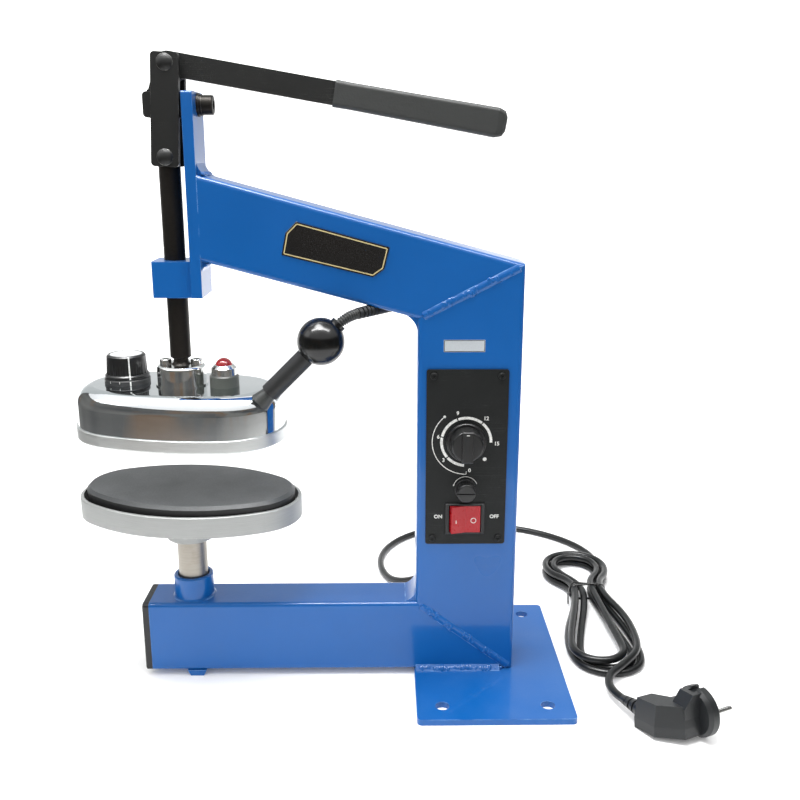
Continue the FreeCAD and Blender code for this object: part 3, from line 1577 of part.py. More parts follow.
def plug_exit_direction():
    """Direction from the plug's body to its cord, sloping down as the body's round side lies on the floor."""
    reach = plug_neck_reach + boot_length
    slant = math.hypot(reach, plug_neck_drop)
    tilt = math.asin((plug_radius - plug_start_z) / slant) - math.atan2(plug_neck_drop, reach)
    along = Vector(plug_heading[0], plug_heading[1], 0).normalize()
    return along * -math.cos(tilt) + Vector(0, 0, -math.sin(tilt))


def plug_frame():
    """Placement of the plug: X towards the cord and along the row of pins, Y up, Z along the pins."""
    reach = plug_neck_reach + boot_length
    along = Vector(plug_heading[0], plug_heading[1], 0).normalize()
    exit_dir = plug_exit_direction()
    pins = Vector(-along.y, along.x, 0)
    upward = pins.cross(exit_dir)
    start = Vector(plug_start[0], plug_start[1], plug_start_z)
    origin = start - exit_dir * reach + pins * plug_neck_setback + upward * plug_neck_drop
    return Placement(origin, Rotation(exit_dir, upward, pins, "ZXY"))


def plug_boot():
    """Tapered strain relief with rings of slots, between the plug and the cord."""
    near = plug_neck_reach
    far = near + boot_length
    y = -plug_neck_drop
    z = -plug_neck_setback
    body = cone(boot_end_diameter, cord_diameter, (near, y, z), (far, y, z))
    slots = []
    for i in range(boot_slots):
        x = near + boot_slot_start + boot_slot_pitch * i
        ring = rod(2 * boot_end_diameter, (x, y, z), (x + boot_slot_width, y, z))
        ring = ring.cut(rod(cord_diameter + 1, (x, y, z), (x + boot_slot_width, y, z)))
        slots.append(ring)
    body = body.cut(slots)
    body.Placement = plug_frame()
    return body


def plug_heel_wire(y, inset):
    """Outline of the plug's angled handle at one height, drawn in towards its middle."""
    middle_x = sum(x for x, z in plug_heel) / len(plug_heel)
    middle_z = sum(z for x, z in plug_heel) / len(plug_heel)
    points = []
    for x, z in plug_heel:
        if inset and z < -2.0:
            reach = math.hypot(x - middle_x, z - middle_z)
            x += (middle_x - x) * inset / reach
            z += (middle_z - z) * inset / reach
        points.append(Vector(x, y, z))
    return Part.makePolygon(points + points[:1])


def earth_block():
    """Block over the upper earth contact, falling away to the handle behind it."""
    w = earth_block_width / 2
    top = earth_block_reach
    far = -earth_block_length
    side = Part.makePolygon([
        Vector(-w, 0, -1), Vector(-w, top, -1), Vector(-w, top, far),
        Vector(-w, plug_crown - 1, far - earth_block_slope), Vector(-w, 0, far - earth_block_slope),
        Vector(-w, 0, -1)])
    return Part.Face(side).extrude(Vector(2 * w, 0, 0))


def plug_body():
    """Moulded right-angle body: round face, angled handle, earth contact blocks and pin seats."""
    r = plug_radius
    profile = [(0, -plug_collar), (r - 2.5, -plug_collar), (r, -plug_collar + 2.5),
               (r, -1), (r - 1, 0), (0, 0)]
    face = turned(profile, 0, 0)
    low = Part.Face(plug_heel_wire(plug_sole, 0)).extrude(Vector(0, plug_crease - plug_sole, 0))
    high = Part.makeLoft([plug_heel_wire(plug_crease, 0), plug_heel_wire(plug_crown, plug_slope)], True, True)
    body = face.fuse([low, high, earth_block()]).removeSplitter()
    w = earth_slot_width / 2
    for side in (-1, 1):
        near, far = sorted((side * (r - earth_slot_depth), side * (r + 2)))
        body = body.cut(box(-w, w, near, far, -earth_slot_length, 1))
    for x in (-plug_pin_span / 2, plug_pin_span / 2):
        body = body.cut(rod(plug_pin_diameter, (x, 0, -plug_pin_seat), (x, 0, 1)))
    body.Placement = plug_frame()
    return body


def plug_pins():
    """Two round pins with rounded tips."""
    pins = []
    for x in (-plug_pin_span / 2, plug_pin_span / 2):
        pin = rod(plug_pin_diameter, (x, 0, -plug_pin_seat), (x, 0, plug_pin_length))
        tip = [e for e in pin.Edges if e.BoundBox.ZMin > plug_pin_length - 0.01]
        pin = pin.makeFillet(plug_pin_diameter / 2 - 0.4, tip)
        pin.Placement = plug_frame()
        pins.append(pin)
    return Part.makeCompound(pins)


def build():
    """Every node by name."""
    return {
        "base_plate": base_plate(),
        "column": column(),
        "lower_arm": lower_arm(),
        "upper_arm": upper_arm(),
        "arm_end_cap": arm_end_cap(),
        "support_foot": support_foot(),
        "head_post": head_post(),
        "guide_block": guide_block(),
        "post_sleeve": post_sleeve(),
        "platen_post": platen_post(),
        "pivot_block": pivot_block(),
        "pivot_washers": pivot_washers(),
        "pivot_screw": pivot_screw(),
        "fulcrum_pin": fulcrum_pin(),
        "lever_bar": lever_bar(),
        "lever_grip": lever_grip(),
        "link_front": link_plate(-1),
        "link_rear": link_plate(1),
        "link_pin": link_pin(),
        "link_spacers": link_spacers(),
        "link_rivets": link_rivets(),
        "plunger_rod": plunger_rod(),
        "plunger_pin": plunger_pin(),
        "head_hub": head_hub(),
        "hub_screws": hub_screws(),
        "pressure_block": pressure_block(),
        "head_cover": head_cover(),
        "heating_plate": heating_plate(),
        "heating_element": heating_element(),
        "thermostat_body": thermostat_body(),
        "thermostat_knob": thermostat_knob(),
        "lamp_base": lamp_base(),
        "lamp_bezel": lamp_bezel(),
        "lamp_lens": lamp_lens(),
        "handle_cone": handle_cone(),
        "handle_stem": handle_stem(),
        "ball_knob": ball_knob(),
        "flex_conduit": flex_conduit(),
        "conduit_relief": conduit_relief(),
        "platen_dish": platen_dish(),
        "rubber_pad": rubber_pad(),
        "control_panel": control_panel(),
        "panel_screws": panel_screws(),
        "timer_body": timer_body(),
        "timer_knob": timer_knob(),
        "fuse_holder": fuse_holder(),
        "fuse_cap": fuse_cap(),
        "switch_housing": switch_housing(),
        "switch_rocker": switch_rocker(),
        "cord_gland": cord_gland(),
        "power_cord": power_cord(),
        "cord_hank": cord_hank(),
        "cord_tie": cord_tie(),
        "plug_boot": plug_boot(),
        "plug_body": plug_body(),
        "plug_pins": plug_pins(),
    }


os.makedirs("parts", exist_ok=True)
for name, shape in build().items():
    shape.exportStep("parts/" + name + ".step")
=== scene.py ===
"""Looks of a bench vulcanising press for tyre repairs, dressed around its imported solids.
Lengths are metres in the press's own frame: +X right, +Y away from the camera, +Z up, floor at z = 0."""

import math

import bmesh
import bpy
from bpy.props import FloatProperty, FloatVectorProperty, PointerProperty
from bpy.types import Operator, Panel, PropertyGroup
from mathutils import Matrix, Vector
from mathutils.bvhtree import BVHTree


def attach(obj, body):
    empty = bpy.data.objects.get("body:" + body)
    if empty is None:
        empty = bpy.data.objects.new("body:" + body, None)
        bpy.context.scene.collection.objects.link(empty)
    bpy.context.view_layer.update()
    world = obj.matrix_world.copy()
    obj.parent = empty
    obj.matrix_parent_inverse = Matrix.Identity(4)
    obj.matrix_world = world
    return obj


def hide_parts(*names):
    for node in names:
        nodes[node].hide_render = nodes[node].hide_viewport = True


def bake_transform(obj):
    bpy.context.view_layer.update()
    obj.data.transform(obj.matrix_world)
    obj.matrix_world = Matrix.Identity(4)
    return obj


bl_info = {
    "name": "Vulcanising press looks",
    "version": (1, 0, 0),
    "blender": (4, 5, 0),
    "location": "View3D > Sidebar > Press",
    "description": "Finishes, small pieces, cord and studio for a bench vulcanising press",
    "category": "Object",
}

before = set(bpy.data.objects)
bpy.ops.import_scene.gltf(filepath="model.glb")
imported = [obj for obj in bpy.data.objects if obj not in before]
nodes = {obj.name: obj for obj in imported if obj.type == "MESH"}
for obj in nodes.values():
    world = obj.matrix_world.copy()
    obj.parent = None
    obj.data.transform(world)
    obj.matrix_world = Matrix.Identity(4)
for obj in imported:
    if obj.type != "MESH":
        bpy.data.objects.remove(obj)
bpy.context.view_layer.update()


def mm(*values):
    """Point or length given in millimetres, in metres."""
    scaled = [v / 1000.0 for v in values]
    return scaled[0] if len(scaled) == 1 else Vector(scaled)


TUBE_FRONT, PANEL_FACE = mm(-20.0), mm(-21.5)
KNOB_AXIS = mm(-287.7, 8.3, 0.0)
KNOB_HEADING = -68.0


def shade(code):
    """Linear colour of a hexadecimal one."""
    parts = [int(code[i:i + 2], 16) / 255.0 for i in (0, 2, 4)]
    return tuple(p / 12.92 if p <= 0.04045 else ((p + 0.055) / 1.055) ** 2.4 for p in parts)


def tint(colour, factor):
    """The colour made lighter or darker."""
    return tuple(min(1.0, c * factor) for c in colour)


def in_scene(name, data):
    """Object of the data, linked into the scene."""
    made = bpy.data.objects.new(name, data)
    bpy.context.scene.collection.objects.link(made)
    return made


def colour_setting(label, about, code):
    return FloatVectorProperty(name=label, description=about, subtype="COLOR", size=3,
                               min=0.0, max=1.0, default=shade(code))


def length_setting(label, about, value):
    return FloatProperty(name=label, description=about, default=value, min=0.0,
                         unit="LENGTH", precision=5)


def light_setting(label, about, value, unit="NONE"):
    return FloatProperty(name=label, description=about, default=value, unit=unit)


class PressColours(PropertyGroup):
    """Colours of the finishes."""
    paint: colour_setting("Frame paint", "Gloss paint of the welded frame", "0a58a0")
    lever_paint: colour_setting("Lever paint", "Satin paint of the lever and links", "151615")
    sheath: colour_setting("Cord sheath", "Sheath of the mains cord", "0f1112")
    # The pad colour is the top face's painted sheen; the rubber's sides are near black.
    pad: colour_setting("Pad", "Rubber pad of the platen", "46494b")
    panel: colour_setting("Panel", "Control panel", "191b1b")
    rocker: colour_setting("Rocker", "Rocker of the mains switch", "a0131d")
    lens: colour_setting("Lamp lens", "Lens of the pilot lamp", "a60c15")
    print_white: colour_setting("Print", "Print on the panel and the knobs", "e6e7e3")


class PressSizes(PropertyGroup):
    """Sizes of the pieces that are added to the solids."""
    cord_diameter: length_setting("Cord", "Diameter of the mains cord", 0.0065)
    weld_width: length_setting("Weld width", "Width of the mitre welds", 0.0052)
    weld_rise: length_setting("Weld height", "Height of the mitre welds over the tube", 0.0013)
    weld_pitch: length_setting("Weld ripple", "Distance between two ripples of a weld", 0.0031)
    print_height: length_setting("Print height", "Thickness of the printed marks", 0.00006)
    number_size: length_setting("Number size", "Height of the dial's numbers", 0.0042)
    conduit_diameter: length_setting("Conduit", "Diameter of the head's conduit over its ribs", 0.0082)
    conduit_pitch: length_setting("Conduit ribs", "Distance between two ribs of the conduit", 0.0018)


class PressStudio(PropertyGroup):
    """Floor, light and camera."""
    floor: colour_setting("Floor", "Paper sweep that the press stands on", "fbfbfb")
    sky: light_setting("Sky", "Strength of the light from all round", 0.9)
    key: light_setting("Key light", "Power of the overhead soft box", 20.0, "POWER")
    fill: light_setting("Fill light", "Power of the side soft box", 5.0, "POWER")
    lens: light_setting("Lens", "Focal length for a 36 mm sensor", 42.044, "CAMERA")


# Node trees

class Wiring:
    """Short ways to add and join the nodes of one tree."""

    def __init__(self, tree):
        self.tree = tree

    def feed(self, socket, value):
        if isinstance(value, bpy.types.NodeSocket):
            self.tree.links.new(value, socket)
        elif socket.type == "RGBA" and len(value) == 3:
            socket.default_value = (*value, 1.0)
        else:
            socket.default_value = value

    def add(self, kind, values=None, **settings):
        node = self.tree.nodes.new(kind)
        for key, value in settings.items():
            setattr(node, key, value)
        for key, value in (values or {}).items():
            self.feed(node.inputs[key], value)
        return node

    def maths(self, operation, a, b=0.0, clamp=False):
        return self.add("ShaderNodeMath", {0: a, 1: b}, operation=operation, use_clamp=clamp).outputs[0]

    def times(self, a, b):
        return self.maths("MULTIPLY", a, b)

    def vector(self, operation, a, b=(0.0, 0.0, 0.0)):
        node = self.add("ShaderNodeVectorMath", {0: a, 1: b}, operation=operation)
        return node.outputs["Value" if operation in ("DOT_PRODUCT", "LENGTH") else "Vector"]

    def part(self, vector, axis):
        """X, Y or Z of a vector."""
        return self.add("ShaderNodeSeparateXYZ", {0: vector}).outputs[axis]

    def normal(self):
        return self.add("ShaderNodeNewGeometry").outputs["Normal"]

    def spread(self, value, low, high, to_low=0.0, to_high=1.0):
        node = self.add("ShaderNodeMapRange", {"Value": value, "From Min": low, "From Max": high,
                                               "To Min": to_low, "To Max": to_high})
        return node.outputs["Result"]

    def blend(self, factor, a, b):
        node = self.add("ShaderNodeMix", {"Factor": factor}, data_type="RGBA")
        self.feed(node.inputs[6], a)
        self.feed(node.inputs[7], b)
        return node.outputs[2]

    def place(self, stretch=(1.0, 1.0, 1.0), turn=(0.0, 0.0, 0.0)):
        """Position on the piece itself, in metres, stretched or turned."""
        where = self.add("ShaderNodeTexCoord").outputs["Object"]
        if stretch == (1.0, 1.0, 1.0) and turn == (0.0, 0.0, 0.0):
            return where
        return self.add("ShaderNodeMapping", {"Vector": where, "Scale": stretch, "Rotation": turn}).outputs[0]

    def noise(self, scale, detail=2.0, rough=0.5, where=None):
        node = self.add("ShaderNodeTexNoise", {"Vector": where or self.place(), "Scale": scale,
                                               "Detail": detail, "Roughness": rough})
        return node.outputs[0]


def effect(name, outputs, **inputs):
    """Empty node group with its sockets, its wiring, and its two ends."""
    tree = bpy.data.node_groups.new(name, "ShaderNodeTree")
    for label, value in inputs.items():
        kind = "NodeSocketVector" if isinstance(value, tuple) else "NodeSocketFloat"
        tree.interface.new_socket(label.title(), in_out="INPUT", socket_type=kind).default_value = value
    for label in outputs:
        tree.interface.new_socket(label, in_out="OUTPUT", socket_type="NodeSocketFloat")
    w = Wiring(tree)
    return w, w.add("NodeGroupInput").outputs, w.add("NodeGroupOutput").inputs


def worn_and_highlit_edge_effect():
    """Mask that is 1 on sharp outer edges, broken up by a noise; it carries edge wear, and on the frame paint
    a painted highlight.
    """
    w, given, out = effect("worn_and_highlit_edges", ["Mask"], width=0.0008, breakup=160.0)
    soft = w.add("ShaderNodeBevel", {"Radius": given["Width"]}, samples=4).outputs[0]
    edge = w.spread(w.vector("DOT_PRODUCT", soft, w.normal()), 0.985, 0.86)
    patches = w.spread(w.noise(given["Breakup"], 3.0), 0.42, 0.62)
    w.feed(out["Mask"], w.maths("MULTIPLY", edge, patches, clamp=True))


def grain_effect():
    """Fine even grain: a value about one half, and a height."""
    w, given, out = effect("fine_grain", ["Value", "Height"], scale=900.0, stretch=(1.0, 1.0, 1.0))
    fine = w.noise(given["Scale"], 4.0, 0.6, w.vector("MULTIPLY", w.place(), given["Stretch"]))
    w.feed(out["Value"], w.maths("ADD", w.times(fine, 0.7), w.times(w.noise(38.0, 3.0), 0.3)))
    w.feed(out["Height"], fine)


def gloss_skin_effect():
    """Long waves and fine orange peel of a sprayed gloss coat, as a height in metres."""
    w, given, out = effect("sprayed_skin", ["Height", "Clouds"], peel=420.0, wave=26.0)
    peel = w.times(w.noise(given["Peel"], 1.5), 0.000035)
    wave = w.times(w.noise(given["Wave"], 1.0), 0.00022)
    w.feed(out["Height"], w.maths("ADD", peel, wave))
    w.feed(out["Clouds"], w.noise(14.0))


def dust_effect():
    """Mask of thin dust on what faces up."""
    w, given, out = effect("settled_dust", ["Mask"], amount=0.3)
    specks = w.spread(w.noise(1400.0), 0.55, 0.75)
    clouds = w.spread(w.noise(22.0, 4.0), 0.35, 0.7)
    both = w.times(w.maths("ADD", specks, clouds), w.spread(w.part(w.normal(), "Z"), 0.4, 1.0))
    w.feed(out["Mask"], w.maths("MULTIPLY", both, given["Amount"], clamp=True))


def scratch_effect():
    """Mask of a few fine scratches in two directions."""
    w, given, out = effect("fine_scratches", ["Mask"], amount=0.3)
    lines = []
    for stretch, turn in (((14.0, 900.0, 900.0), (0.1, 0.5, 0.3)), ((700.0, 18.0, 700.0), (0.4, 0.2, 0.9))):
        line = w.noise(1.0, 1.0, where=w.place(stretch, turn))
        lines.append(w.spread(w.maths("ABSOLUTE", w.maths("SUBTRACT", line, 0.5)), 0.012, 0.0))
    patches = w.spread(w.noise(30.0), 0.5, 0.62)
    found = w.times(w.maths("MAXIMUM", *lines), patches)
    w.feed(out["Mask"], w.maths("MULTIPLY", found, given["Amount"], clamp=True))


class Finish(Wiring):
    """A material being mixed, with its shader; its prefix keeps it apart from the solids' own plain ones."""

    def __init__(self, name, **plain):
        self.material = bpy.data.materials.new("press_" + name)
        self.material.use_nodes = True
        super().__init__(self.material.node_tree)
        self.shader = self.tree.nodes["Principled BSDF"]
        for key, value in plain.items():
            self.feed(self.shader.inputs[key.replace("_", " ").title().replace("Ior", "IOR")], value)

    def use(self, name, **values):
        """Outputs of a shared effect placed in this material."""
        node = self.add("ShaderNodeGroup", node_tree=bpy.data.node_groups[name])
        for key, value in values.items():
            self.feed(node.inputs[key.title()], value)
        return node.outputs

    def mask(self, name, **values):
        return self.use(name, **values)["Mask"]

    def set(self, socket, value):
        self.feed(self.shader.inputs[socket], value)

    def colour(self, factor, a, b):
        """Base colour between two others."""
        self.base = self.blend(factor, a, b)
        self.set("Base Color", self.base)

    def cover(self, mask, code):
        """Another colour over the base where the mask says."""
        self.colour(mask, self.base, shade(code))

    def wear_and_highlight_edges(self, width, breakup, share, code):
        """Another colour along the sharp edges: real wear on most finishes, a painted highlight on the frame
        paint.
        """
        self.cover(self.times(self.mask("worn_and_highlit_edges", width=width, breakup=breakup), share), code)

    def gloss(self, value, low, high):
        """Roughness that follows a value which stays about one half."""
        self.rough = self.spread(value, 0.3, 0.7, low, high)
        self.set("Roughness", self.rough)

    def emboss(self, height, distance=1.0):
        """Height in metres, or a 0 to 1 height times the distance, as the surface's relief."""
        self.set("Normal", self.add("ShaderNodeBump", {"Height": height, "Distance": distance}).outputs[0])


def finish_of(name):
    return bpy.data.materials["press_" + name]


def grained(name, dark, light, rough, scale, relief, stretch=(1.0, 1.0, 1.0), pits=0.0, **plain):
    """Finish whose colour, gloss and relief all follow one fine grain."""
    f = Finish(name, **plain)
    f.grain = f.use("fine_grain", scale=scale, stretch=stretch)
    height = f.grain["Height"]
    if pits:
        height = f.maths("ADD", height, f.times(f.use("fine_grain", scale=1500.0)["Height"], pits))
    f.colour(f.grain["Value"], dark, light)
    f.gloss(f.grain["Value"], *rough)
    f.emboss(height, relief)
    return f


def frame_paint_finish(colours):
    """Gloss paint over welded steel, with a painted highlight in pale blue along its edges and dust on top
    faces.
    """
    f = Finish("frame_paint", coat_weight=0.52, coat_roughness=0.09, specular_ior_level=0.2)
    skin = f.use("sprayed_skin", peel=420.0, wave=24.0)
    f.colour(f.spread(skin["Clouds"], 0.1, 0.9), tint(colours.paint, 0.9), tint(colours.paint, 1.06))
    # Painted highlight: the edges are paler, standing in for light caught by the rounded tube corners.
    f.wear_and_highlight_edges(0.0009, 90.0, 0.55, "86b6e8")
    dust = f.mask("settled_dust", amount=0.04)
    f.cover(dust, "9fb4cc")
    f.set("Roughness", f.maths("ADD", f.spread(skin["Clouds"], 0.1, 0.9, 0.24, 0.38), dust))
    f.emboss(skin["Height"])


def satin_paint_finish(colours):
    """Satin black paint, rubbed to bare steel along its edges."""
    f = grained("lever_paint", tint(colours.lever_paint, 0.8), tint(colours.lever_paint, 1.35),
                (0.36, 0.5), 520.0, 0.00005, specular_ior_level=0.4)
    edge = f.times(f.mask("worn_and_highlit_edges", width=0.0007, breakup=210.0), 0.75)
    bare = f.maths("MAXIMUM", edge, f.mask("fine_scratches", amount=0.16), clamp=True)
    f.cover(bare, "8f8f8b")
    f.set("Metallic", f.times(bare, 0.8))


def black_steel_finish(colours):
    """Oil-blackened steel with a brownish cast, as on the rod and the screws."""
    f = grained("black_steel", shade("1d1b19"), shade("2f2c28"), (0.34, 0.48), 260.0, 0.00004,
                stretch=(1.0, 1.0, 5.0), metallic=0.6, specular_ior_level=0.25)
    f.wear_and_highlight_edges(0.0006, 260.0, 0.35, "8b8985")


def chrome_finish(colours):
    """Bright plating with faint waves from the pressing and wiped smears."""
    f = Finish("chrome_plate", metallic=1.0)
    smear = f.noise(26.0, 5.0, 0.65, f.place((1.0, 1.0, 3.0), (0.0, 0.3, 0.4)))
    f.colour(smear, shade("d3d8db"), shade("e9ecee"))
    scratch = f.times(f.mask("fine_scratches", amount=0.25), 0.4)
    f.set("Roughness", f.maths("ADD", f.spread(smear, 0.4, 0.75, 0.03, 0.10), scratch))
    f.emboss(f.noise(19.0, 1.0), 0.00028)


def alloy_finish(name, dark, light, metal, rough):
    """Machined casting with fine turning lines round its rim."""
    f = grained(name, shade(dark), shade(light), (rough, rough + 0.16), 240.0, 0.00006,
                stretch=(0.25, 0.25, 9.0), pits=0.6, metallic=metal)
    f.wear_and_highlight_edges(0.0008, 300.0, 0.6, "f4f5f5")


def steel_finish(name, dark, light, low, high, rings=130.0):
    """Bare steel: ringed by the tool, lightly stained, bright or dull."""
    f = grained(name, shade(dark), shade(light), (low, high), rings, 0.00003,
                stretch=(0.2, 0.2, 16.0), metallic=1.0)
    f.cover(f.spread(f.noise(70.0, 4.0, 0.65), 0.55, 0.75, 0.0, 0.35), "8a7f70")


def screw_finish(colours):
    """Nickel-plated small hardware."""
    grained("bright_screw", shade("c3c4c2"), shade("ececea"), (0.12, 0.26), 800.0, 0.00003, metallic=1.0)


def rubber_finish(colours):
    """Pressed rubber with a fine speckle and dust on top; the top face is painted lighter than the near black
    sides, a painted sheen.
    """
    f = grained("pad_rubber", shade("0d0e0f"), shade("1c1e1f"), (0.38, 0.6), 700.0, 0.00008,
                specular_ior_level=0.5)
    # Painted sheen: faces that point up get the lighter pad colour, the sides stay near black.
    top = f.blend(f.grain["Value"], tint(colours.pad, 0.85), tint(colours.pad, 1.15))
    f.colour(f.spread(f.part(f.normal(), "Z"), 0.1, 0.8), f.base, top)
    f.cover(f.mask("settled_dust", amount=0.2), "8d9092")


def plastic_finish(name, code, rough, relief, coat=0.0, scale=900.0):
    """Moulded plastic: even colour with a slight mottle, and a sparked or polished skin."""
    f = grained(name, tint(shade(code), 0.8), tint(shade(code), 1.25), (rough - 0.06, rough + 0.06),
                scale, relief, coat_weight=coat, coat_roughness=0.04)
    f.wear_and_highlight_edges(0.0005, 300.0, 0.2, "77797a")


def panel_finish(colours):
    """Satin black face plate with a soft leathery coat."""
    f = grained("panel_black", tint(colours.panel, 0.85), tint(colours.panel, 1.2), (0.4, 0.52),
                640.0, 0.00007, specular_ior_level=0.22)
    f.cover(f.mask("fine_scratches", amount=0.12), "6c706f")


def rocker_finish(colours):
    """Glossy red plastic."""
    grained("rocker_red", tint(colours.rocker, 0.97), tint(colours.rocker, 1.03), (0.24, 0.34),
            500.0, 0.00002, coat_weight=0.2, coat_roughness=0.08, specular_ior_level=0.3)


def lens_finish(colours):
    """Clear red lens with moulded facets inside."""
    f = Finish("lamp_lens", ior=1.49, coat_weight=0.3, coat_roughness=0.03, transmission_weight=0.1)
    cells = f.add("ShaderNodeTexVoronoi", {"Vector": f.place(), "Scale": 520.0}).outputs["Distance"]
    f.colour(f.spread(cells, 0.1, 0.6), tint(colours.lens, 1.25), tint(colours.lens, 0.8))
    f.set("Roughness", f.spread(cells, 0.1, 0.6, 0.12, 0.22))
    f.emboss(cells, 0.00005)


def sheath_finish(colours):
    """Smooth flexible sheath with scuffs and a soft sheen."""
    f = grained("cord_sheath", tint(colours.sheath, 0.85), tint(colours.sheath, 1.2), (0.26, 0.36),
                420.0, 0.00006, specular_ior_level=0.4)
    scuff = f.spread(f.noise(60.0, 4.0), 0.55, 0.72)
    f.cover(f.times(scuff, 0.3), "2c3031")
    f.set("Roughness", f.maths("ADD", f.rough, f.times(scuff, 0.12)))


def print_finish(colours):
    """White ink, thin in places."""
    f = Finish("panel_print")
    thin = f.noise(900.0, 3.0)
    f.colour(f.spread(thin, 0.35, 0.6), tint(colours.print_white, 0.7), colours.print_white)
    f.gloss(thin, 0.45, 0.6)


def disc_finish(colours):
    """Spun bright disc in the top of the thermostat's knob."""
    f = Finish("knob_disc", metallic=0.7)
    moved = f.vector("ADD", f.place(), tuple(-KNOB_AXIS))
    reach = f.vector("LENGTH", f.vector("MULTIPLY", moved, (1.0, 1.0, 0.0)))
    spun = f.maths("SINE", f.times(reach, 14000.0))
    patches = f.noise(300.0, 3.0)
    f.colour(patches, shade("dfe1e1"), shade("f6f7f7"))
    f.set("Roughness", f.spread(spun, -1.0, 1.0, 0.3, 0.42))
    f.emboss(f.maths("ADD", spun, patches), 0.000008)


def make_finishes(colours):
    """Every material of the press, by name."""
    for build in (worn_and_highlit_edge_effect, grain_effect, gloss_skin_effect, dust_effect, scratch_effect):
        build()
    for build in (frame_paint_finish, satin_paint_finish, black_steel_finish, chrome_finish,
                  screw_finish, rubber_finish, panel_finish, rocker_finish, lens_finish,
                  sheath_finish, print_finish, disc_finish):
        build(colours)
    alloy_finish("cast_alloy", "8f9190", "babcbb", 0.55, 0.44)
    alloy_finish("plate_alloy", "bcbfbe", "e0e2e1", 0.9, 0.3)
    steel_finish("turned_steel", "8d8f8f", "cfd1d2", 0.16, 0.3)
    steel_finish("polished_steel", "d6d8d8", "f2f3f2", 0.06, 0.11, rings=9.0)
    steel_finish("post_steel", "827e77", "b6b0a6", 0.34, 0.5, rings=60.0)
    plastic_finish("moulded_black", "1a1b1c", 0.5, 0.00009)
    plastic_finish("ball_black", "070808", 0.2, 0.000012, scale=120.0)
    plastic_finish("cone_grey", "373938", 0.4, 0.00004)
    plastic_finish("knob_black", "0f1011", 0.34, 0.00003, coat=0.15)
    plastic_finish("grip_black", "2f3130", 0.55, 0.0002, scale=420.0)
    plastic_finish("plug_black", "16191b", 0.4, 0.00005)
    plastic_finish("lamp_grey", "454843", 0.4, 0.00004)
    plastic_finish("plate_black", "121314", 0.25, 0.00002, coat=0.5)
    plastic_finish("label_white", "b3b9bd", 0.45, 0.00002)
    plastic_finish("trim_gold", "c9b988", 0.35, 0.00002)
    plastic_finish("tie_black", "0e0f0f", 0.3, 0.00003)


NODE_FINISH = {
    "frame_paint": ("base_plate", "column", "lower_arm", "upper_arm", "support_foot", "head_post",
                    "guide_block", "post_sleeve"),
    "lever_paint": ("pivot_block", "lever_bar", "link_front", "link_rear", "link_pin", "link_rivets"),
    "black_steel": ("pivot_screw", "pivot_washers", "fulcrum_pin", "link_spacers", "plunger_rod",
                    "plunger_pin"),
    "turned_steel": ("pressure_block", "heating_element"),
    "polished_steel": ("head_hub",),
    "post_steel": ("platen_post",),
    "cone_grey": ("handle_cone",),
    "bright_screw": ("hub_screws", "lamp_bezel", "plug_pins"),
    "chrome_plate": ("head_cover",),
    "cast_alloy": ("platen_dish",),
    "plate_alloy": ("heating_plate",),
    "pad_rubber": ("rubber_pad",),
    "grip_black": ("lever_grip",),
    "moulded_black": ("arm_end_cap", "switch_housing", "cord_gland", "conduit_relief", "handle_stem",
                      "timer_body", "fuse_holder", "thermostat_body"),
    "knob_black": ("thermostat_knob", "timer_knob", "fuse_cap"),
    "ball_black": ("ball_knob",),
    "lamp_grey": ("lamp_base",),
    "lamp_lens": ("lamp_lens",),
    "panel_black": ("control_panel", "panel_screws"),
    "rocker_red": ("switch_rocker",),
    "plug_black": ("plug_boot", "plug_body"),
    "cord_sheath": ("power_cord", "cord_hank", "flex_conduit"),
    "tie_black": ("cord_tie",),
}


# Mesh helpers

def skin(bm, rows, closed=True):
    """Faces from each row of points to the next; a closed row comes back to its start."""
    for a, b in zip(rows, rows[1:]):
        for i in range(len(a) if closed else len(a) - 1):
            j = (i + 1) % len(a)
            bm.faces.new((a[i], a[j], b[j], b[i]))


def tube(bm, rows):
    """Closed skin over rings of points, with its two ends."""
    skin(bm, rows)
    bm.faces.new(rows[0][::-1])
    bm.faces.new(rows[-1])


def tube_of(rings):
    bm = bmesh.new()
    tube(bm, [[bm.verts.new(p) for p in ring] for ring in rings])
    return bm


def mesh_of(bm, name, outward=True):
    if outward:
        bmesh.ops.recalc_face_normals(bm, faces=bm.faces)
    mesh = bpy.data.meshes.new(name)
    bm.to_mesh(mesh)
    bm.free()
    return mesh


def piece(name, bm, finish, body, smooth=True):
    """Object of the mesh, in its finish, riding on its body if it has one alone."""
    made = in_scene(name, mesh_of(bm, name))
    made.data.materials.append(finish_of(finish))
    if smooth:
        for face in made.data.polygons:
            face.use_smooth = True
    if body:
        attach(made, body)
    return made


def turns(count):
    """Angles all the way round."""
    return [i * math.tau / count for i in range(count)]


def ribbon(bm, points, width, lift, place):
    """Flat closed strip along the points of a plane; place turns (u, v, height) into the model's space."""
    rows = []
    for i, (u, v) in enumerate(points):
        before = points[max(i - 1, 0)]
        after = points[min(i + 1, len(points) - 1)]
        along = Vector((after[0] - before[0], after[1] - before[1])).normalized()
        side = Vector((-along.y, along.x)) * (width / 2.0)
        left, right = (u + side.x, v + side.y), (u - side.x, v - side.y)
        ring = ((left, 0.0), (right, 0.0), (right, lift), (left, lift))
        rows.append([bm.verts.new(place(*p, h)) for p, h in ring])
    tube(bm, rows)


def dot(bm, centre, diameter, lift, place):
    """Flat closed round spot."""
    reach = diameter / 2.0
    ring = [(centre[0] + reach * math.cos(a), centre[1] + reach * math.sin(a)) for a in turns(20)]
    tube(bm, [[bm.verts.new(place(*p, h)) for p in ring] for h in (0.0, lift)])


def arc_points(centre, radius, start, end, step=4.0):
    """Points of an arc from one angle in degrees to another."""
    count = max(2, int(abs(end - start) / step) + 1)
    turn = [math.radians(start + (end - start) * i / (count - 1)) for i in range(count)]
    return [(centre[0] + radius * math.cos(a), centre[1] + radius * math.sin(a)) for a in turn]


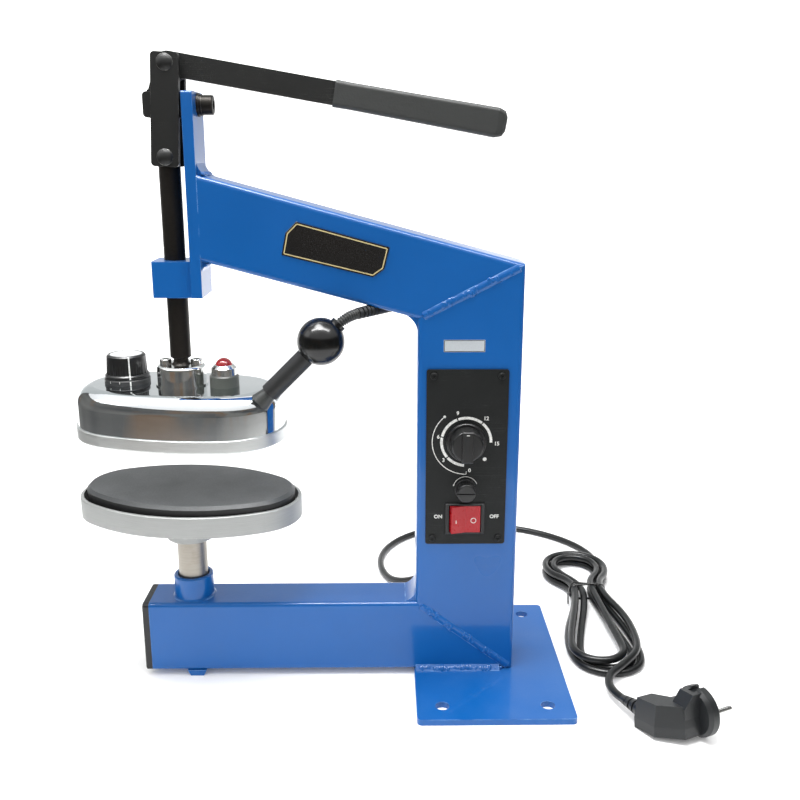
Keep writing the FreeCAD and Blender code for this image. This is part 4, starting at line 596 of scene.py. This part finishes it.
def letters(bm, text, size, centre, lift, place):
    """Raised characters in Blender's own typeface, centred on a point of the plane."""
    curve = bpy.data.curves.new("characters", "FONT")
    curve.body = text
    curve.size = size * 1.38
    curve.align_x = "CENTER"
    curve.align_y = "CENTER"
    curve.extrude = 0.5
    curve.offset = size * 0.035
    curve.resolution_u = 4
    held = in_scene("characters", curve)
    shape = bpy.data.meshes.new_from_object(held.evaluated_get(bpy.context.evaluated_depsgraph_get()))
    for vertex in shape.vertices:
        u, v, h = vertex.co
        vertex.co = place(centre[0] + u, centre[1] + v, (h + 0.5) * lift)
    bm.from_mesh(shape)
    bpy.data.objects.remove(held)
    bpy.data.meshes.remove(shape)


def panel_place(x, z, height):
    """Point on the control panel's face."""
    return Vector((x, PANEL_FACE - height, z))


def surface_of(node):
    """Search tree of a solid's own faces."""
    mesh = nodes[node].data
    return BVHTree.FromPolygons([v.co for v in mesh.vertices], [p.vertices[:] for p in mesh.polygons])


# Mains cord, in millimetres

CORD_ROUTE = (
    (-20.0, 52.0, 53.0), (-20.0, 80.0, 53.0), (-36.0, 106.0, 36.0), (-60.0, 126.0, 14.0),
    (-81.0, 150.0, 3.3), (-92.0, 186.0, 3.3), (-87.0, 226.0, 3.3), (-64.0, 262.0, 3.3),
    (-25.0, 286.0, 3.3), (22.0, 292.0, 3.3), (66.0, 283.0, 3.3), (99.0, 262.0, 3.3),
    (123.0, 235.0, 3.3), (135.6, 204.0, 3.3),
)
HANK_UPPER, HANK_LOWER = 166.0, 3.6
LOW, HIGH = 3.25, 10.55
LOW_WAIST, MID_WAIST, HIGH_WAIST = LOW + 1.6, 8.5, HIGH + 1.6
OUTER_FOLD, MIDDLE_FOLD, INNER_FOLD = 29.4, 25.4, 21.4
WAIST = (97.1, 105.7, 114.3, 122.9)
HANK_TAIL = (
    (132.5, 66.0, HIGH), (134.6, 36.0, HIGH), (131.0, 0.0, HIGH), (114.0, -22.0, 10.5),
    (96.0, -37.0, 8.5), (93.0, -56.0, 6.9), (99.3, -72.0, 9.0),
)


def fold_points(middle, radius, z, upward):
    """Four points round one fold of the hank: the lower folds from right to left, the upper ones back."""
    reach = radius * 1.082
    level, sign = (HANK_UPPER, 1.0) if upward else (HANK_LOWER, -1.0)
    angles = [math.radians(22.5 + 45.0 * i) for i in range(4)]
    if upward:
        angles.reverse()
    return [(middle + reach * math.cos(a), level + sign * reach * math.sin(a), z) for a in angles]


def run_points(column, upper, lower, z, waist_z, down):
    """Four points of one run of the hank through its tied waist."""
    x = WAIST[column]
    points = [(*upper, z), (x, 128.0, waist_z), (x, 98.0, waist_z), (*lower, z)]
    return points if down else points[::-1]


def hank_points():
    """The hank's turns: four runs down and three up, in two layers, then the tail to the plug."""
    points = run_points(3, (137.4, 151.0), (133.9, 36.0), LOW, LOW_WAIST, True)
    points += fold_points(104.5, OUTER_FOLD, LOW, False)
    points += run_points(0, (78.6, 151.0), (75.1, 36.0), LOW, LOW_WAIST, False)
    points += fold_points(104.0, MIDDLE_FOLD, LOW, True)
    points += run_points(2, (129.4, 150.0), (125.9, 17.0), LOW, LOW_WAIST, True)
    points += fold_points(104.5, INNER_FOLD, LOW, False)
    points += [(83.1, 17.0, LOW), (105.7, 98.0, MID_WAIST), (105.7, 128.0, MID_WAIST), (86.6, 153.0, HIGH)]
    points += fold_points(108.0, INNER_FOLD, HIGH, True)
    points += run_points(2, (129.4, 153.0), (117.9, 17.0), HIGH, HIGH_WAIST, True)
    points += fold_points(96.5, INNER_FOLD, HIGH, False)
    points += run_points(0, (78.6, 151.0), (75.1, 17.0), HIGH, HIGH_WAIST, False)
    points += fold_points(108.0, OUTER_FOLD, HIGH, True)
    points += [(137.4, 151.0, HIGH), (122.9, 128.0, HIGH_WAIST), (122.9, 98.0, HIGH_WAIST), *HANK_TAIL]
    return points


def route_curve(name, points, diameter, finish):
    """One smooth NURBS line through the route, as a round cord."""
    curve = bpy.data.curves.new(name, "CURVE")
    curve.dimensions = "3D"
    spline = curve.splines.new("NURBS")
    spline.points.add(len(points) - 1)
    for point, place in zip(spline.points, points):
        point.co = (*place, 1.0)
    spline.order_u = 3
    spline.use_endpoint_u = True
    spline.resolution_u = 6
    curve.bevel_depth = diameter / 2.0
    curve.bevel_resolution = 4
    curve.use_fill_caps = True
    curve.materials.append(finish_of(finish))
    return in_scene(name, curve)


# Operators, one for each group of pieces

class PressOperator:
    """What the press's operators share."""
    bl_options = {"REGISTER", "UNDO"}

    def execute(self, context):
        self.build(context.scene.press_colours, context.scene.press_sizes, context.scene.press_studio)
        return {"FINISHED"}


class PRESS_OT_camera(PressOperator, Operator):
    """Set the camera where the photograph was taken from"""
    bl_idname = "press.camera"
    bl_label = "Camera"

    def build(self, colours, sizes, studio):
        yaw, pitch, roll = (math.radians(a) for a in (0.842, 14.792, 0.073))
        right = Vector((math.cos(yaw), -math.sin(yaw), 0.0))
        forward = Vector((math.sin(yaw) * math.cos(pitch), math.cos(yaw) * math.cos(pitch), -math.sin(pitch)))
        up = right.cross(forward)
        side = right * math.cos(roll) + up * math.sin(roll)
        top = up * math.cos(roll) - right * math.sin(roll)
        camera = in_scene("camera", bpy.data.cameras.new("camera"))
        turned = Matrix((side, top, -forward)).transposed().to_4x4()
        camera.matrix_world = Matrix.Translation(mm(-83.4, -712.0, 418.36)) @ turned
        camera.data.sensor_width = 36.0
        camera.data.sensor_fit = "HORIZONTAL"
        camera.data.lens = studio.lens
        camera.data.clip_start = 0.02
        bpy.context.scene.camera = camera


class PRESS_OT_finishes(PressOperator, Operator):
    """Mix the finishes and give each solid its own"""
    bl_idname = "press.finishes"
    bl_label = "Finishes"

    def build(self, colours, sizes, studio):
        make_finishes(colours)
        for finish, members in NODE_FINISH.items():
            for name in members:
                slots = nodes[name].material_slots
                for one in slots:
                    one.material = finish_of(finish)
                if not slots:
                    nodes[name].data.materials.append(finish_of(finish))


class PRESS_OT_mains_cord(PressOperator, Operator):
    """Lay the mains cord, wound as a tied hank, out to its plug"""
    bl_idname = "press.mains_cord"
    bl_label = "Mains cord"

    def build(self, colours, sizes, studio):
        points = [mm(*p) for p in (*CORD_ROUTE, *hank_points())]
        cord = route_curve("mains_cord", points, sizes.cord_diameter, "cord_sheath")
        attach(cord, "frame")
        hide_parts("power_cord", "cord_hank")
        tie = self.wire_tie()

    def wire_tie(self):
        """Twist tie: two turns round the waist, a twisted neck and two free ends."""
        centre = mm(110.0, 113.0, 8.5)
        half_x, half_z, squeeze = mm(17.0), mm(7.55), 0.55
        line = []
        for i in range(49):
            a = math.pi * 0.5 + math.tau * 2.0 * i / 48.0
            x = half_x * math.copysign(abs(math.cos(a)) ** squeeze, math.cos(a))
            z = half_z * math.copysign(abs(math.sin(a)) ** squeeze, math.sin(a))
            line.append(centre + Vector((x, mm(-1.3) + mm(2.6) * i / 48.0 + mm(0.5) * math.cos(a), z)))
        ends = [(-8.0, 1.6, 8.2), (-14.5, 1.2, 9.2), (-18.5, -3.5, 6.0), (-20.5, -10.0, 0.0),
                (-21.0, -16.0, -5.0)]
        line += [centre + mm(*p) for p in ends]
        tie = route_curve("cord_twist_tie", line, mm(1.5), "tie_black")
        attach(tie, "frame")
        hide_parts("cord_tie")
        return tie


def weld_bead(start, end, out, width, rise, pitch, seed):
    """Rippled weld bead along a seam; out is the direction that the bead stands up in."""
    out = Vector(out).normalized()
    length = (end - start).length
    along = (end - start) / length
    across = along.cross(out).normalized()
    steps = int(length / 0.0004)
    lanes = 12
    rows = []
    for i in range(steps + 1):
        s = length * i / steps
        taper = min(1.0, s / (width * 0.8), (length - s) / (width * 2.2))
        taper = math.sqrt(max(0.02, taper))
        wander = 0.0005 * math.sin(s * 190.0 + seed) + 0.0004 * math.sin(s * 617.0 + seed * 3.0)
        swell = 1.0 + 0.2 * math.sin(s * 330.0 + seed * 2.0) + 0.13 * math.sin(s * 1130.0 + seed)
        middle = start + along * s
        ring = []
        for j in range(lanes + 1):
            t = -1.0 + 2.0 * j / lanes
            lag = s + 0.0011 * t * t
            wave = lag / pitch + 0.22 * math.sin(s * 400.0 + seed) + 0.15 * math.sin(s * 1500.0 + seed)
            scale = 0.55 + 0.45 * math.sin(math.pi * (wave % 1.0)) ** 0.7
            high = rise * math.sqrt(max(0.0, 1.0 - t * t)) * scale * taper * swell
            ring.append(middle + across * (t * width / 2.0 * swell * taper + wander) + out * high)
        for way in (1.0, -1.0):
            ring.append(middle - out * 0.0006 + across * way * width * 0.45 * taper)
        rows.append(ring)
    return tube_of(rows)


class PRESS_OT_welds(PressOperator, Operator):
    """Run rippled weld beads along the frame's mitres, corners and feet"""
    bl_idname = "press.welds"
    bl_label = "Welds"

    def build(self, colours, sizes, studio):
        seams = []
        for side, tag in ((-1.0, "front"), (1.0, "rear")):
            y, foot = 20.0 * side, 21.3 * side
            seams += [("upper_" + tag, (-56.5, y, 300.1), (17.5, y, 337.7), (0, side, 0), 1.0, 1.0),
                      ("lower_" + tag, (-56.5, y, 62.4), (17.5, y, 6.9), (0, side, 0), 1.0, 1.0),
                      ("foot_" + tag, (-58.5, foot, 6.2), (12.0, foot, 6.2), (0, side, 0.9), 1.0, 1.4)]
        post = surface_of("head_post")
        for tag, from_z, way in (("top", 0.45, -1.0), ("under", 0.20, 1.0)):
            z = 1000.0 * post.ray_cast(Vector((mm(-215.8), 0.0, from_z)), Vector((0.0, 0.0, way)))[0].z
            seams.append(("post_" + tag, (-215.8, -19.0, z), (-215.8, 19.0, z), (0.7, 0, -way), 0.8, 0.8))
        for i, (name, start, end, out, wider, higher) in enumerate(seams):
            bead = weld_bead(mm(*start), mm(*end), out, sizes.weld_width * wider, sizes.weld_rise * higher,
                             sizes.weld_pitch, 1.7 * i + 0.4)
            piece("weld_" + name, bead, "frame_paint", "frame")


class PRESS_OT_panel_print(PressOperator, Operator):
    """Print the dial's scale, numbers and switch words on the panel"""
    bl_idname = "press.panel_print"
    bl_label = "Panel print"

    def build(self, colours, sizes, studio):
        lift = sizes.print_height
        bm = bmesh.new()
        dial, fuse = (mm(-21.9), mm(202.3)), (mm(-21.9), mm(164.2))
        breaks, gap = (-93.0, -139.0, -192.0, -249.0, -309.0, -363.0), 1.4
        for start, end in zip(breaks, breaks[1:]):
            ribbon(bm, arc_points(dial, mm(19.2), start - gap, end + gap), mm(2.1), lift, panel_place)
        outer = arc_points(dial, mm(26.4), -230.0, -92.0)
        ribbon(bm, outer, mm(0.6), lift, panel_place)
        dot(bm, outer[0], mm(2.0), lift * 1.2, panel_place)
        x, z = outer[-1]
        ribbon(bm, [(x, z), (x + mm(1.2), z), (x + mm(1.4), z + mm(2.4))], mm(0.5), lift, panel_place)
        dot(bm, (mm(-7.3), mm(188.2)), mm(3.0), lift, panel_place)
        small = arc_points(fuse, mm(9.6), 164.0, 22.0)
        ribbon(bm, small, mm(0.4), lift, panel_place)
        dot(bm, small[0], mm(1.1), lift * 1.2, panel_place)
        words = (("0", -18.9, 178.9), ("3", -39.4, 187.4), ("6", -43.6, 206.4), ("9", -28.8, 225.2),
                 ("12", -6.8, 221.0), ("15", 1.8, 200.7), ("ON", -43.0, 140.4), ("OFF", 1.4, 140.4))
        for text, x, z in words:
            letters(bm, text, sizes.number_size * 0.72, (mm(x), mm(z)), lift, panel_place)
        piece("panel_print", bm, "panel_print", "frame", smooth=False)
        self.knob_tick(lift)
        self.rocker_marks(lift)

    def knob_tick(self, lift):
        """Short white mark on the timer knob's grip."""
        bm = bmesh.new()
        hit = surface_of("timer_knob").ray_cast(mm(-21.9, -80.0, 212.4), Vector((0.0, 1.0, 0.0)))[0]
        ribbon(bm, [(mm(-23.1), mm(212.4)), (mm(-20.7), mm(212.4))], mm(0.6), lift,
               lambda x, z, h: Vector((x, hit.y - h, z)))
        piece("timer_knob_mark", bm, "panel_print", "timer", smooth=False)

    def rocker_marks(self, lift):
        """On stroke and off ring on the rocker's two halves."""
        face = surface_of("switch_rocker")

        def on_rocker(x, z, height):
            hit = face.ray_cast(Vector((x, mm(-80.0), z)), Vector((0.0, 1.0, 0.0)))
            return hit[0] + hit[1] * height

        bm = bmesh.new()
        ribbon(bm, [(mm(-29.0), mm(136.2 + 0.4 * i)) for i in range(8)], mm(0.6), lift, on_rocker)
        ring = arc_points((mm(-15.2), mm(138.0)), mm(2.0), 0.0, 345.0, 15.0)
        ribbon(bm, ring + [ring[0]], mm(0.5), lift, on_rocker)
        piece("rocker_marks", bm, "panel_print", "rocker", smooth=False)


class PRESS_OT_plates(PressOperator, Operator):
    """Stick the blank plate on the arm and the blank label on the column"""
    bl_idname = "press.plates"
    bl_label = "Plate and label"

    def build(self, colours, sizes, studio):
        plate = self.outline((-149.0, 370.2), (-80.9, 351.6), (-84.9, 335.6), (-93.2, 329.7),
                             (-160.3, 346.0), (-157.0, 362.2))
        self.flat_plate("arm_plate", plate, mm(0.8), mm(0.9), "plate_black", "black_paint")
        self.border("arm_plate_trim", self.shrink(plate, mm(1.5)), mm(0.6), mm(0.8), mm(0.9), "trim_gold")
        label = self.outline((-40.2, 273.0), (-40.2, 282.4), (-8.8, 282.4), (-8.8, 273.0))
        self.flat_plate("column_label", label, mm(0.4), mm(0.12), "label_white", "panel_black")
        self.border("column_label_edge", self.shrink(label, mm(0.5)), mm(0.3), mm(0.35), mm(0.12),
                    "plate_black")

    def outline(self, *corners):
        return [Vector((mm(x), mm(z))) for x, z in corners]

    def corners(self, outline):
        """Each corner between the one before it and the one after."""
        return zip(outline[-1:] + outline[:-1], outline, outline[1:] + outline[:1])

    def shrink(self, outline, by):
        """The outline moved inwards, corner by corner."""
        made = []
        for a, b, c in self.corners(outline):
            inward = ((a - b).normalized() + (c - b).normalized()).normalized()
            sine = abs((a - b).normalized().cross(inward))
            made.append(b + inward * by / max(sine, 0.2))
        return made

    def round_outline(self, outline, radius):
        """The outline with round corners."""
        made = []
        for a, b, c in self.corners(outline):
            start = b + (a - b).normalized() * radius
            end = b + (c - b).normalized() * radius
            for t in (0.0, 0.25, 0.5, 0.75, 1.0):
                made.append(start * (1 - t) ** 2 + b * 2 * t * (1 - t) + end * t * t)
        return made

    def flat_plate(self, name, outline, radius, thickness, finish, slot):
        """Thin plate on the tube's front face with softened edges."""
        points = self.round_outline(outline, radius)
        middle = sum(points, Vector((0.0, 0.0))) / len(points)
        rings = []
        for depth, inset in ((0.0, 0.0), (thickness * 0.7, 0.0), (thickness, thickness * 0.4)):
            moved = [p + (middle - p).normalized() * inset for p in points]
            rings.append([(q.x, TUBE_FRONT - depth, q.y) for q in moved])
        piece(name, tube_of(rings), finish, "frame", smooth=False)

    def border(self, name, outline, radius, width, height, finish):
        """Raised line round the plate, inside its edge."""
        bm = bmesh.new()
        base, top = TUBE_FRONT - height + 0.00002, TUBE_FRONT - height - 0.00012
        lines = []
        for before, p, after in self.corners(self.round_outline(outline, radius)):
            along = (after - before).normalized()
            side = Vector((-along.y, along.x)) * width / 2.0
            lines.append([bm.verts.new((p.x + k * side.x, y, p.y + k * side.y))
                          for y, k in ((base, 1), (base, -1), (top, -1), (top, 1))])
        skin(bm, lines + lines[:1])
        piece(name, bm, finish, "frame", smooth=False)


class PRESS_OT_head_details(PressOperator, Operator):
    """Add the thermostat's disc, pointer and scale"""
    bl_idname = "press.head_details"
    bl_label = "Head details"

    def build(self, colours, sizes, studio):
        self.knob_disc()
        self.pointer()
        self.scale(sizes.print_height)

    def knob_disc(self):
        """Bright disc set in the knob's top."""
        profile = [(0.0, 265.8), (12.35, 265.8), (12.35, 266.25), (12.1, 266.45), (11.4, 266.45),
                   (11.2, 266.3), (1.6, 266.3), (1.3, 266.2), (0.0, 266.15)]
        bm = bmesh.new()
        count = 64
        rings = []
        for r, z in profile:
            spots = turns(count) if r else [0.0]
            rings.append([bm.verts.new(KNOB_AXIS + mm(r * math.cos(a), r * math.sin(a), z)) for a in spots])
        for a, b in zip(rings, rings[1:]):
            for i in range(count):
                j = (i + 1) % count
                bm.faces.new(dict.fromkeys((a[i % len(a)], a[j % len(a)], b[j % len(b)], b[i % len(b)])))
        piece("thermostat_disc", bm, "knob_disc", "thermostat")

    def pointer(self):
        """White line down the knob's side."""
        face = surface_of("thermostat_knob")
        turn = math.radians(KNOB_HEADING)
        heading = Vector((math.cos(turn), math.sin(turn), 0.0))
        across = Vector((-heading.y, heading.x, 0.0))
        bm = bmesh.new()
        rows = []
        for i in range(34):
            row = []
            for k in (-1, 0, 1):
                start = KNOB_AXIS + heading * mm(60.0) + across * mm(0.55) * k
                hit = face.ray_cast(start + Vector((0, 0, mm(248.7) + mm(17.4) * i / 33.0)), -heading)[0]
                if hit is not None:
                    row.append((hit - heading * 0.0001, hit + heading * 0.00012))
            if len(row) == 3:
                left, middle, right = row
                rows.append([bm.verts.new(p) for p in (left[0], right[0], right[1], middle[1], left[1])])
        tube(bm, rows)
        piece("thermostat_pointer", bm, "panel_print", "thermostat", smooth=False)

    def scale(self, lift):
        """Ticks on the fixed ring under the knob."""
        bm = bmesh.new()

        def on_ring(u, v, height):
            reach = mm(17.56) + height
            return KNOB_AXIS + Vector((reach * math.cos(u), reach * math.sin(u), v))

        for i in range(11):
            a = math.radians(KNOB_HEADING - 27.0 * i)
            tall, wide = (3.2, 0.06) if i == 0 else (1.6, 0.022)
            ribbon(bm, [(a, mm(247.4)), (a, mm(247.4 - tall))], wide, lift, on_ring)
        piece("thermostat_scale", bm, "panel_print", "ram", smooth=False)


class PRESS_OT_conduit(PressOperator, Operator):
    """Run the ribbed conduit from the ball to its relief under the arm"""
    bl_idname = "press.conduit"
    bl_label = "Ribbed conduit"

    def build(self, colours, sizes, studio):
        path = self.path()
        rings = []
        travelled = 0.0
        for i, point in enumerate(path):
            if i:
                travelled += (point - path[i - 1]).length
            along = (path[min(i + 1, len(path) - 1)] - path[max(i - 1, 0)]).normalized()
            side = along.cross(Vector((0.0, 0.0, 1.0))).normalized()
            up = side.cross(along)
            wave = 0.5 + 0.5 * math.cos(travelled / sizes.conduit_pitch * math.tau)
            radius = sizes.conduit_diameter / 2.0 - 0.0010 * (1.0 - wave)
            rings.append([point + (side * math.cos(a) + up * math.sin(a)) * radius for a in turns(28)])
        made = piece("ribbed_conduit", tube_of(rings), "cone_grey", None)
        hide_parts("flex_conduit")
        tuple(self.relief_tip)
        tuple(self.ball_side)
        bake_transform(made)

    def path(self):
        """Centre line from inside the relief to inside the ball."""
        self.relief_tip = mm(-105.0, -25.0, relief_tip_z())
        axis = (mm(-86.0, -8.0, relief_tip_z() + 2.0) - self.relief_tip).normalized()
        ball = mm(-131.7, -36.0, 284.5)
        corner = self.relief_tip - axis * mm(11.0)
        toward = (corner - ball).normalized()
        self.ball_side = ball + toward * mm(17.0)
        a, b, c = self.relief_tip + axis * mm(1.0), corner, ball + toward * mm(15.5)
        share = [i / 150 for i in range(151)]
        return [a * (1 - t) ** 2 + b * 2 * t * (1 - t) + c * t * t for t in share]


def relief_tip_z():
    """Height of the relief's tip under the sloping arm, in millimetres."""
    slope = math.radians(15.0)
    return 339.0 + (20.0 + 86.0) * math.tan(slope) - 60.0 / math.cos(slope) - 2.0


class PRESS_OT_stage(PressOperator, Operator):
    """Set up the paper sweep and the soft boxes"""
    bl_idname = "press.stage"
    bl_label = "Studio"

    def build(self, colours, sizes, studio):
        self.sweep(studio)
        self.flags()
        self.glint()
        self.back_flag()
        self.sky(studio)
        self.soft_box("overhead_box", (-0.25, -0.15, 1.6), (-0.1, 0.0, 0.2), (0.7, 0.5), studio.key)
        self.soft_box("side_box", (-1.7, -0.4, 0.9), (-0.1, 0.0, 0.25), (0.8, 1.4), studio.fill)
        bpy.context.scene.view_settings.view_transform = "Standard"

    def sheet(self, name, rows, finish, only=None):
        """Open stage surface over rows of points; only names the one kind of ray that meets it."""
        bm = bmesh.new()
        skin(bm, [[bm.verts.new(p) for p in row] for row in rows], closed=False)
        made = in_scene(name, mesh_of(bm, name, outward=False))
        made.data.materials.append(finish.material)
        for face in made.data.polygons:
            face.use_smooth = only is None
        for sight in ("camera", "diffuse", "glossy", "transmission", "volume_scatter", "shadow"):
            setattr(made, "visible_" + sight, only in (None, sight))

    def sweep(self, studio):
        """Pale floor that curves up into a wall behind."""
        near, wide, far, bend = -0.70, 3.5, 1.5, 0.8
        profile = [(near, 0.0), (0.4, 0.0), (far, 0.0)]
        profile += [(far + bend * math.sin(math.radians(a)), bend - bend * math.cos(math.radians(a)))
                    for a in range(6, 91, 6)]
        profile += [(far + bend, 2.6)]
        f = Finish("paper", roughness=0.9, emission_color=(1.0, 1.0, 1.0))
        f.colour(f.noise(3.0, 3.0), tint(studio.floor, 0.985), studio.floor)
        f.set("Emission Strength", f.spread(f.part(f.place(), "Y"), 0.4, 1.4, 0.06, 0.5))
        self.sheet("paper_sweep", [[(x, y, z) for x in (-wide, -1.0, 1.0, wide)] for y, z in profile], f)
        front = [[(x, y, 0.0) for x in (-reach, reach)] for y, reach in ((-30.0, 30.0), (near, wide))]
        self.sheet("paper_front", front, f, "camera")

    def dark_card(self, name):
        return Finish(name, roughness=1.0, base_color=(0.02, 0.02, 0.02), emission_strength=1.0)

    def flags(self):
        """Dark cards round the front and sides, which only reflections see."""
        x, y, reach = -0.1, 0.05, 0.58
        f = self.dark_card("flag_card")
        bands = f.noise(2.6, 1.0, where=f.place((1.0, 1.0, 1.6), (0.0, 0.0, 0.3)))
        warm = f.noise(4.5, where=f.place((1.0, 1.0, 1.2), (0.0, 0.0, 1.1)))
        dark = f.blend(f.spread(bands, 0.36, 0.64), shade("303133"), shade("6b6a66"))
        dark = f.blend(f.spread(warm, 0.55, 0.68), dark, shade("6a543f"))
        low = f.spread(f.part(f.place(), "Z"), 0.0, 0.14, 1.0, 0.0)
        f.set("Emission Color", f.blend(f.maths("POWER", low, 2.0), dark, shade("e8e6e2")))
        turn = [math.radians(a) for a in range(-205, 26, 5)]
        line = [(x + reach * math.cos(a), y + reach * math.sin(a)) for a in turn]
        self.sheet("flag_cards", [[(*p, 0.12 * i) for p in line] for i in range(5)], f, "glossy")

    def glint(self):
        """Narrow bright card overhead, which draws the light line along a rounded top edge."""
        f = Finish("glint_card", roughness=1.0, emission_color=(1.0, 1.0, 1.0), emission_strength=28.0)
        self.sheet("glint_card", [[(x, y, 1.6) for x in (-1.1, 0.9)] for y in (-0.30, -0.52)], f, "glossy")

    def back_flag(self):
        """Grey card behind, which the cover's top and the base plate reflect."""
        low, high, away = 0.4, 1.7, 1.2
        f = self.dark_card("back_card")
        height = f.part(f.place(), "Z")
        f.set("Emission Color", f.blend(f.spread(height, low, low + 0.2), shade("f4f4f4"), shade("c6caca")))
        self.sheet("back_card", [[(x, away, z) for x in (-1.7, 1.5)] for z in (low, high)], f, "glossy")

    def sky(self, studio):
        """Light from all round, bright above and dim and warm below the horizon; the camera sees white."""
        world = bpy.data.worlds.new("studio_sky")
        bpy.context.scene.world = world
        world.use_nodes = True
        w = Wiring(world.node_tree)
        height = w.part(w.add("ShaderNodeTexCoord").outputs["Generated"], "Z")
        ramp = w.add("ShaderNodeValToRGB", {0: w.spread(height, -1.0, 1.0)})
        steps = [(0.0, shade("3a332b")), (0.44, shade("4a443b")), (0.492, shade("8a8478")),
                 (0.52, (0.8, 0.8, 0.81)), (0.7, (1.0, 1.0, 1.0))]
        bar = ramp.color_ramp
        while len(bar.elements) < len(steps):
            bar.elements.new(0.5)
        for element, (place, colour) in zip(bar.elements, steps):
            element.position = place
            element.color = (*colour, 1.0)
        back = world.node_tree.nodes["Background"]
        seen = w.add("ShaderNodeLightPath").outputs["Is Camera Ray"]
        strength = w.spread(height, 0.0, 0.9, studio.sky * 0.7, studio.sky * 1.6)
        w.feed(back.inputs["Color"], w.blend(seen, ramp.outputs[0], (1.0, 1.0, 1.0)))
        w.feed(back.inputs["Strength"], w.maths("MAXIMUM", strength, seen))

    def soft_box(self, name, place, target, size, power):
        light = bpy.data.lights.new(name, "AREA")
        light.shape = "RECTANGLE"
        light.size, light.size_y = size
        light.energy = power
        made = in_scene(name, light)
        made.location = place
        made.rotation_euler = (Vector(target) - Vector(place)).to_track_quat("-Z", "Y").to_euler()


OPERATORS = (PRESS_OT_camera, PRESS_OT_finishes, PRESS_OT_mains_cord, PRESS_OT_welds, PRESS_OT_panel_print,
             PRESS_OT_plates, PRESS_OT_head_details, PRESS_OT_conduit, PRESS_OT_stage)


class PRESS_PT_looks(Panel):
    """Buttons and settings for the press's looks"""
    bl_idname = "PRESS_PT_looks"
    bl_label = "Vulcanising press"
    bl_space_type = "VIEW_3D"
    bl_region_type = "UI"
    bl_category = "Press"

    def draw(self, context):
        for one in OPERATORS:
            self.layout.operator(one.bl_idname)
        for group in (context.scene.press_colours, context.scene.press_sizes, context.scene.press_studio):
            box = self.layout.box()
            for name in group.__annotations__:
                box.prop(group, name)


CLASSES = (PressColours, PressSizes, PressStudio, *OPERATORS, PRESS_PT_looks)


def register():
    """Add the classes and the scene's settings."""
    for one in CLASSES:
        bpy.utils.register_class(one)
    bpy.types.Scene.press_colours = PointerProperty(type=PressColours)
    bpy.types.Scene.press_sizes = PointerProperty(type=PressSizes)
    bpy.types.Scene.press_studio = PointerProperty(type=PressStudio)


def unregister():
    """Take the settings and the classes away."""
    for name in ("press_studio", "press_sizes", "press_colours"):
        delattr(bpy.types.Scene, name)
    for one in reversed(CLASSES):
        bpy.utils.unregister_class(one)


def main():
    """Register the classes and dress the press with every operator."""
    register()
    for one in OPERATORS:
        group, name = one.bl_idname.split(".")
        getattr(getattr(bpy.ops, group), name)()


if __name__ == "__main__":
    main()
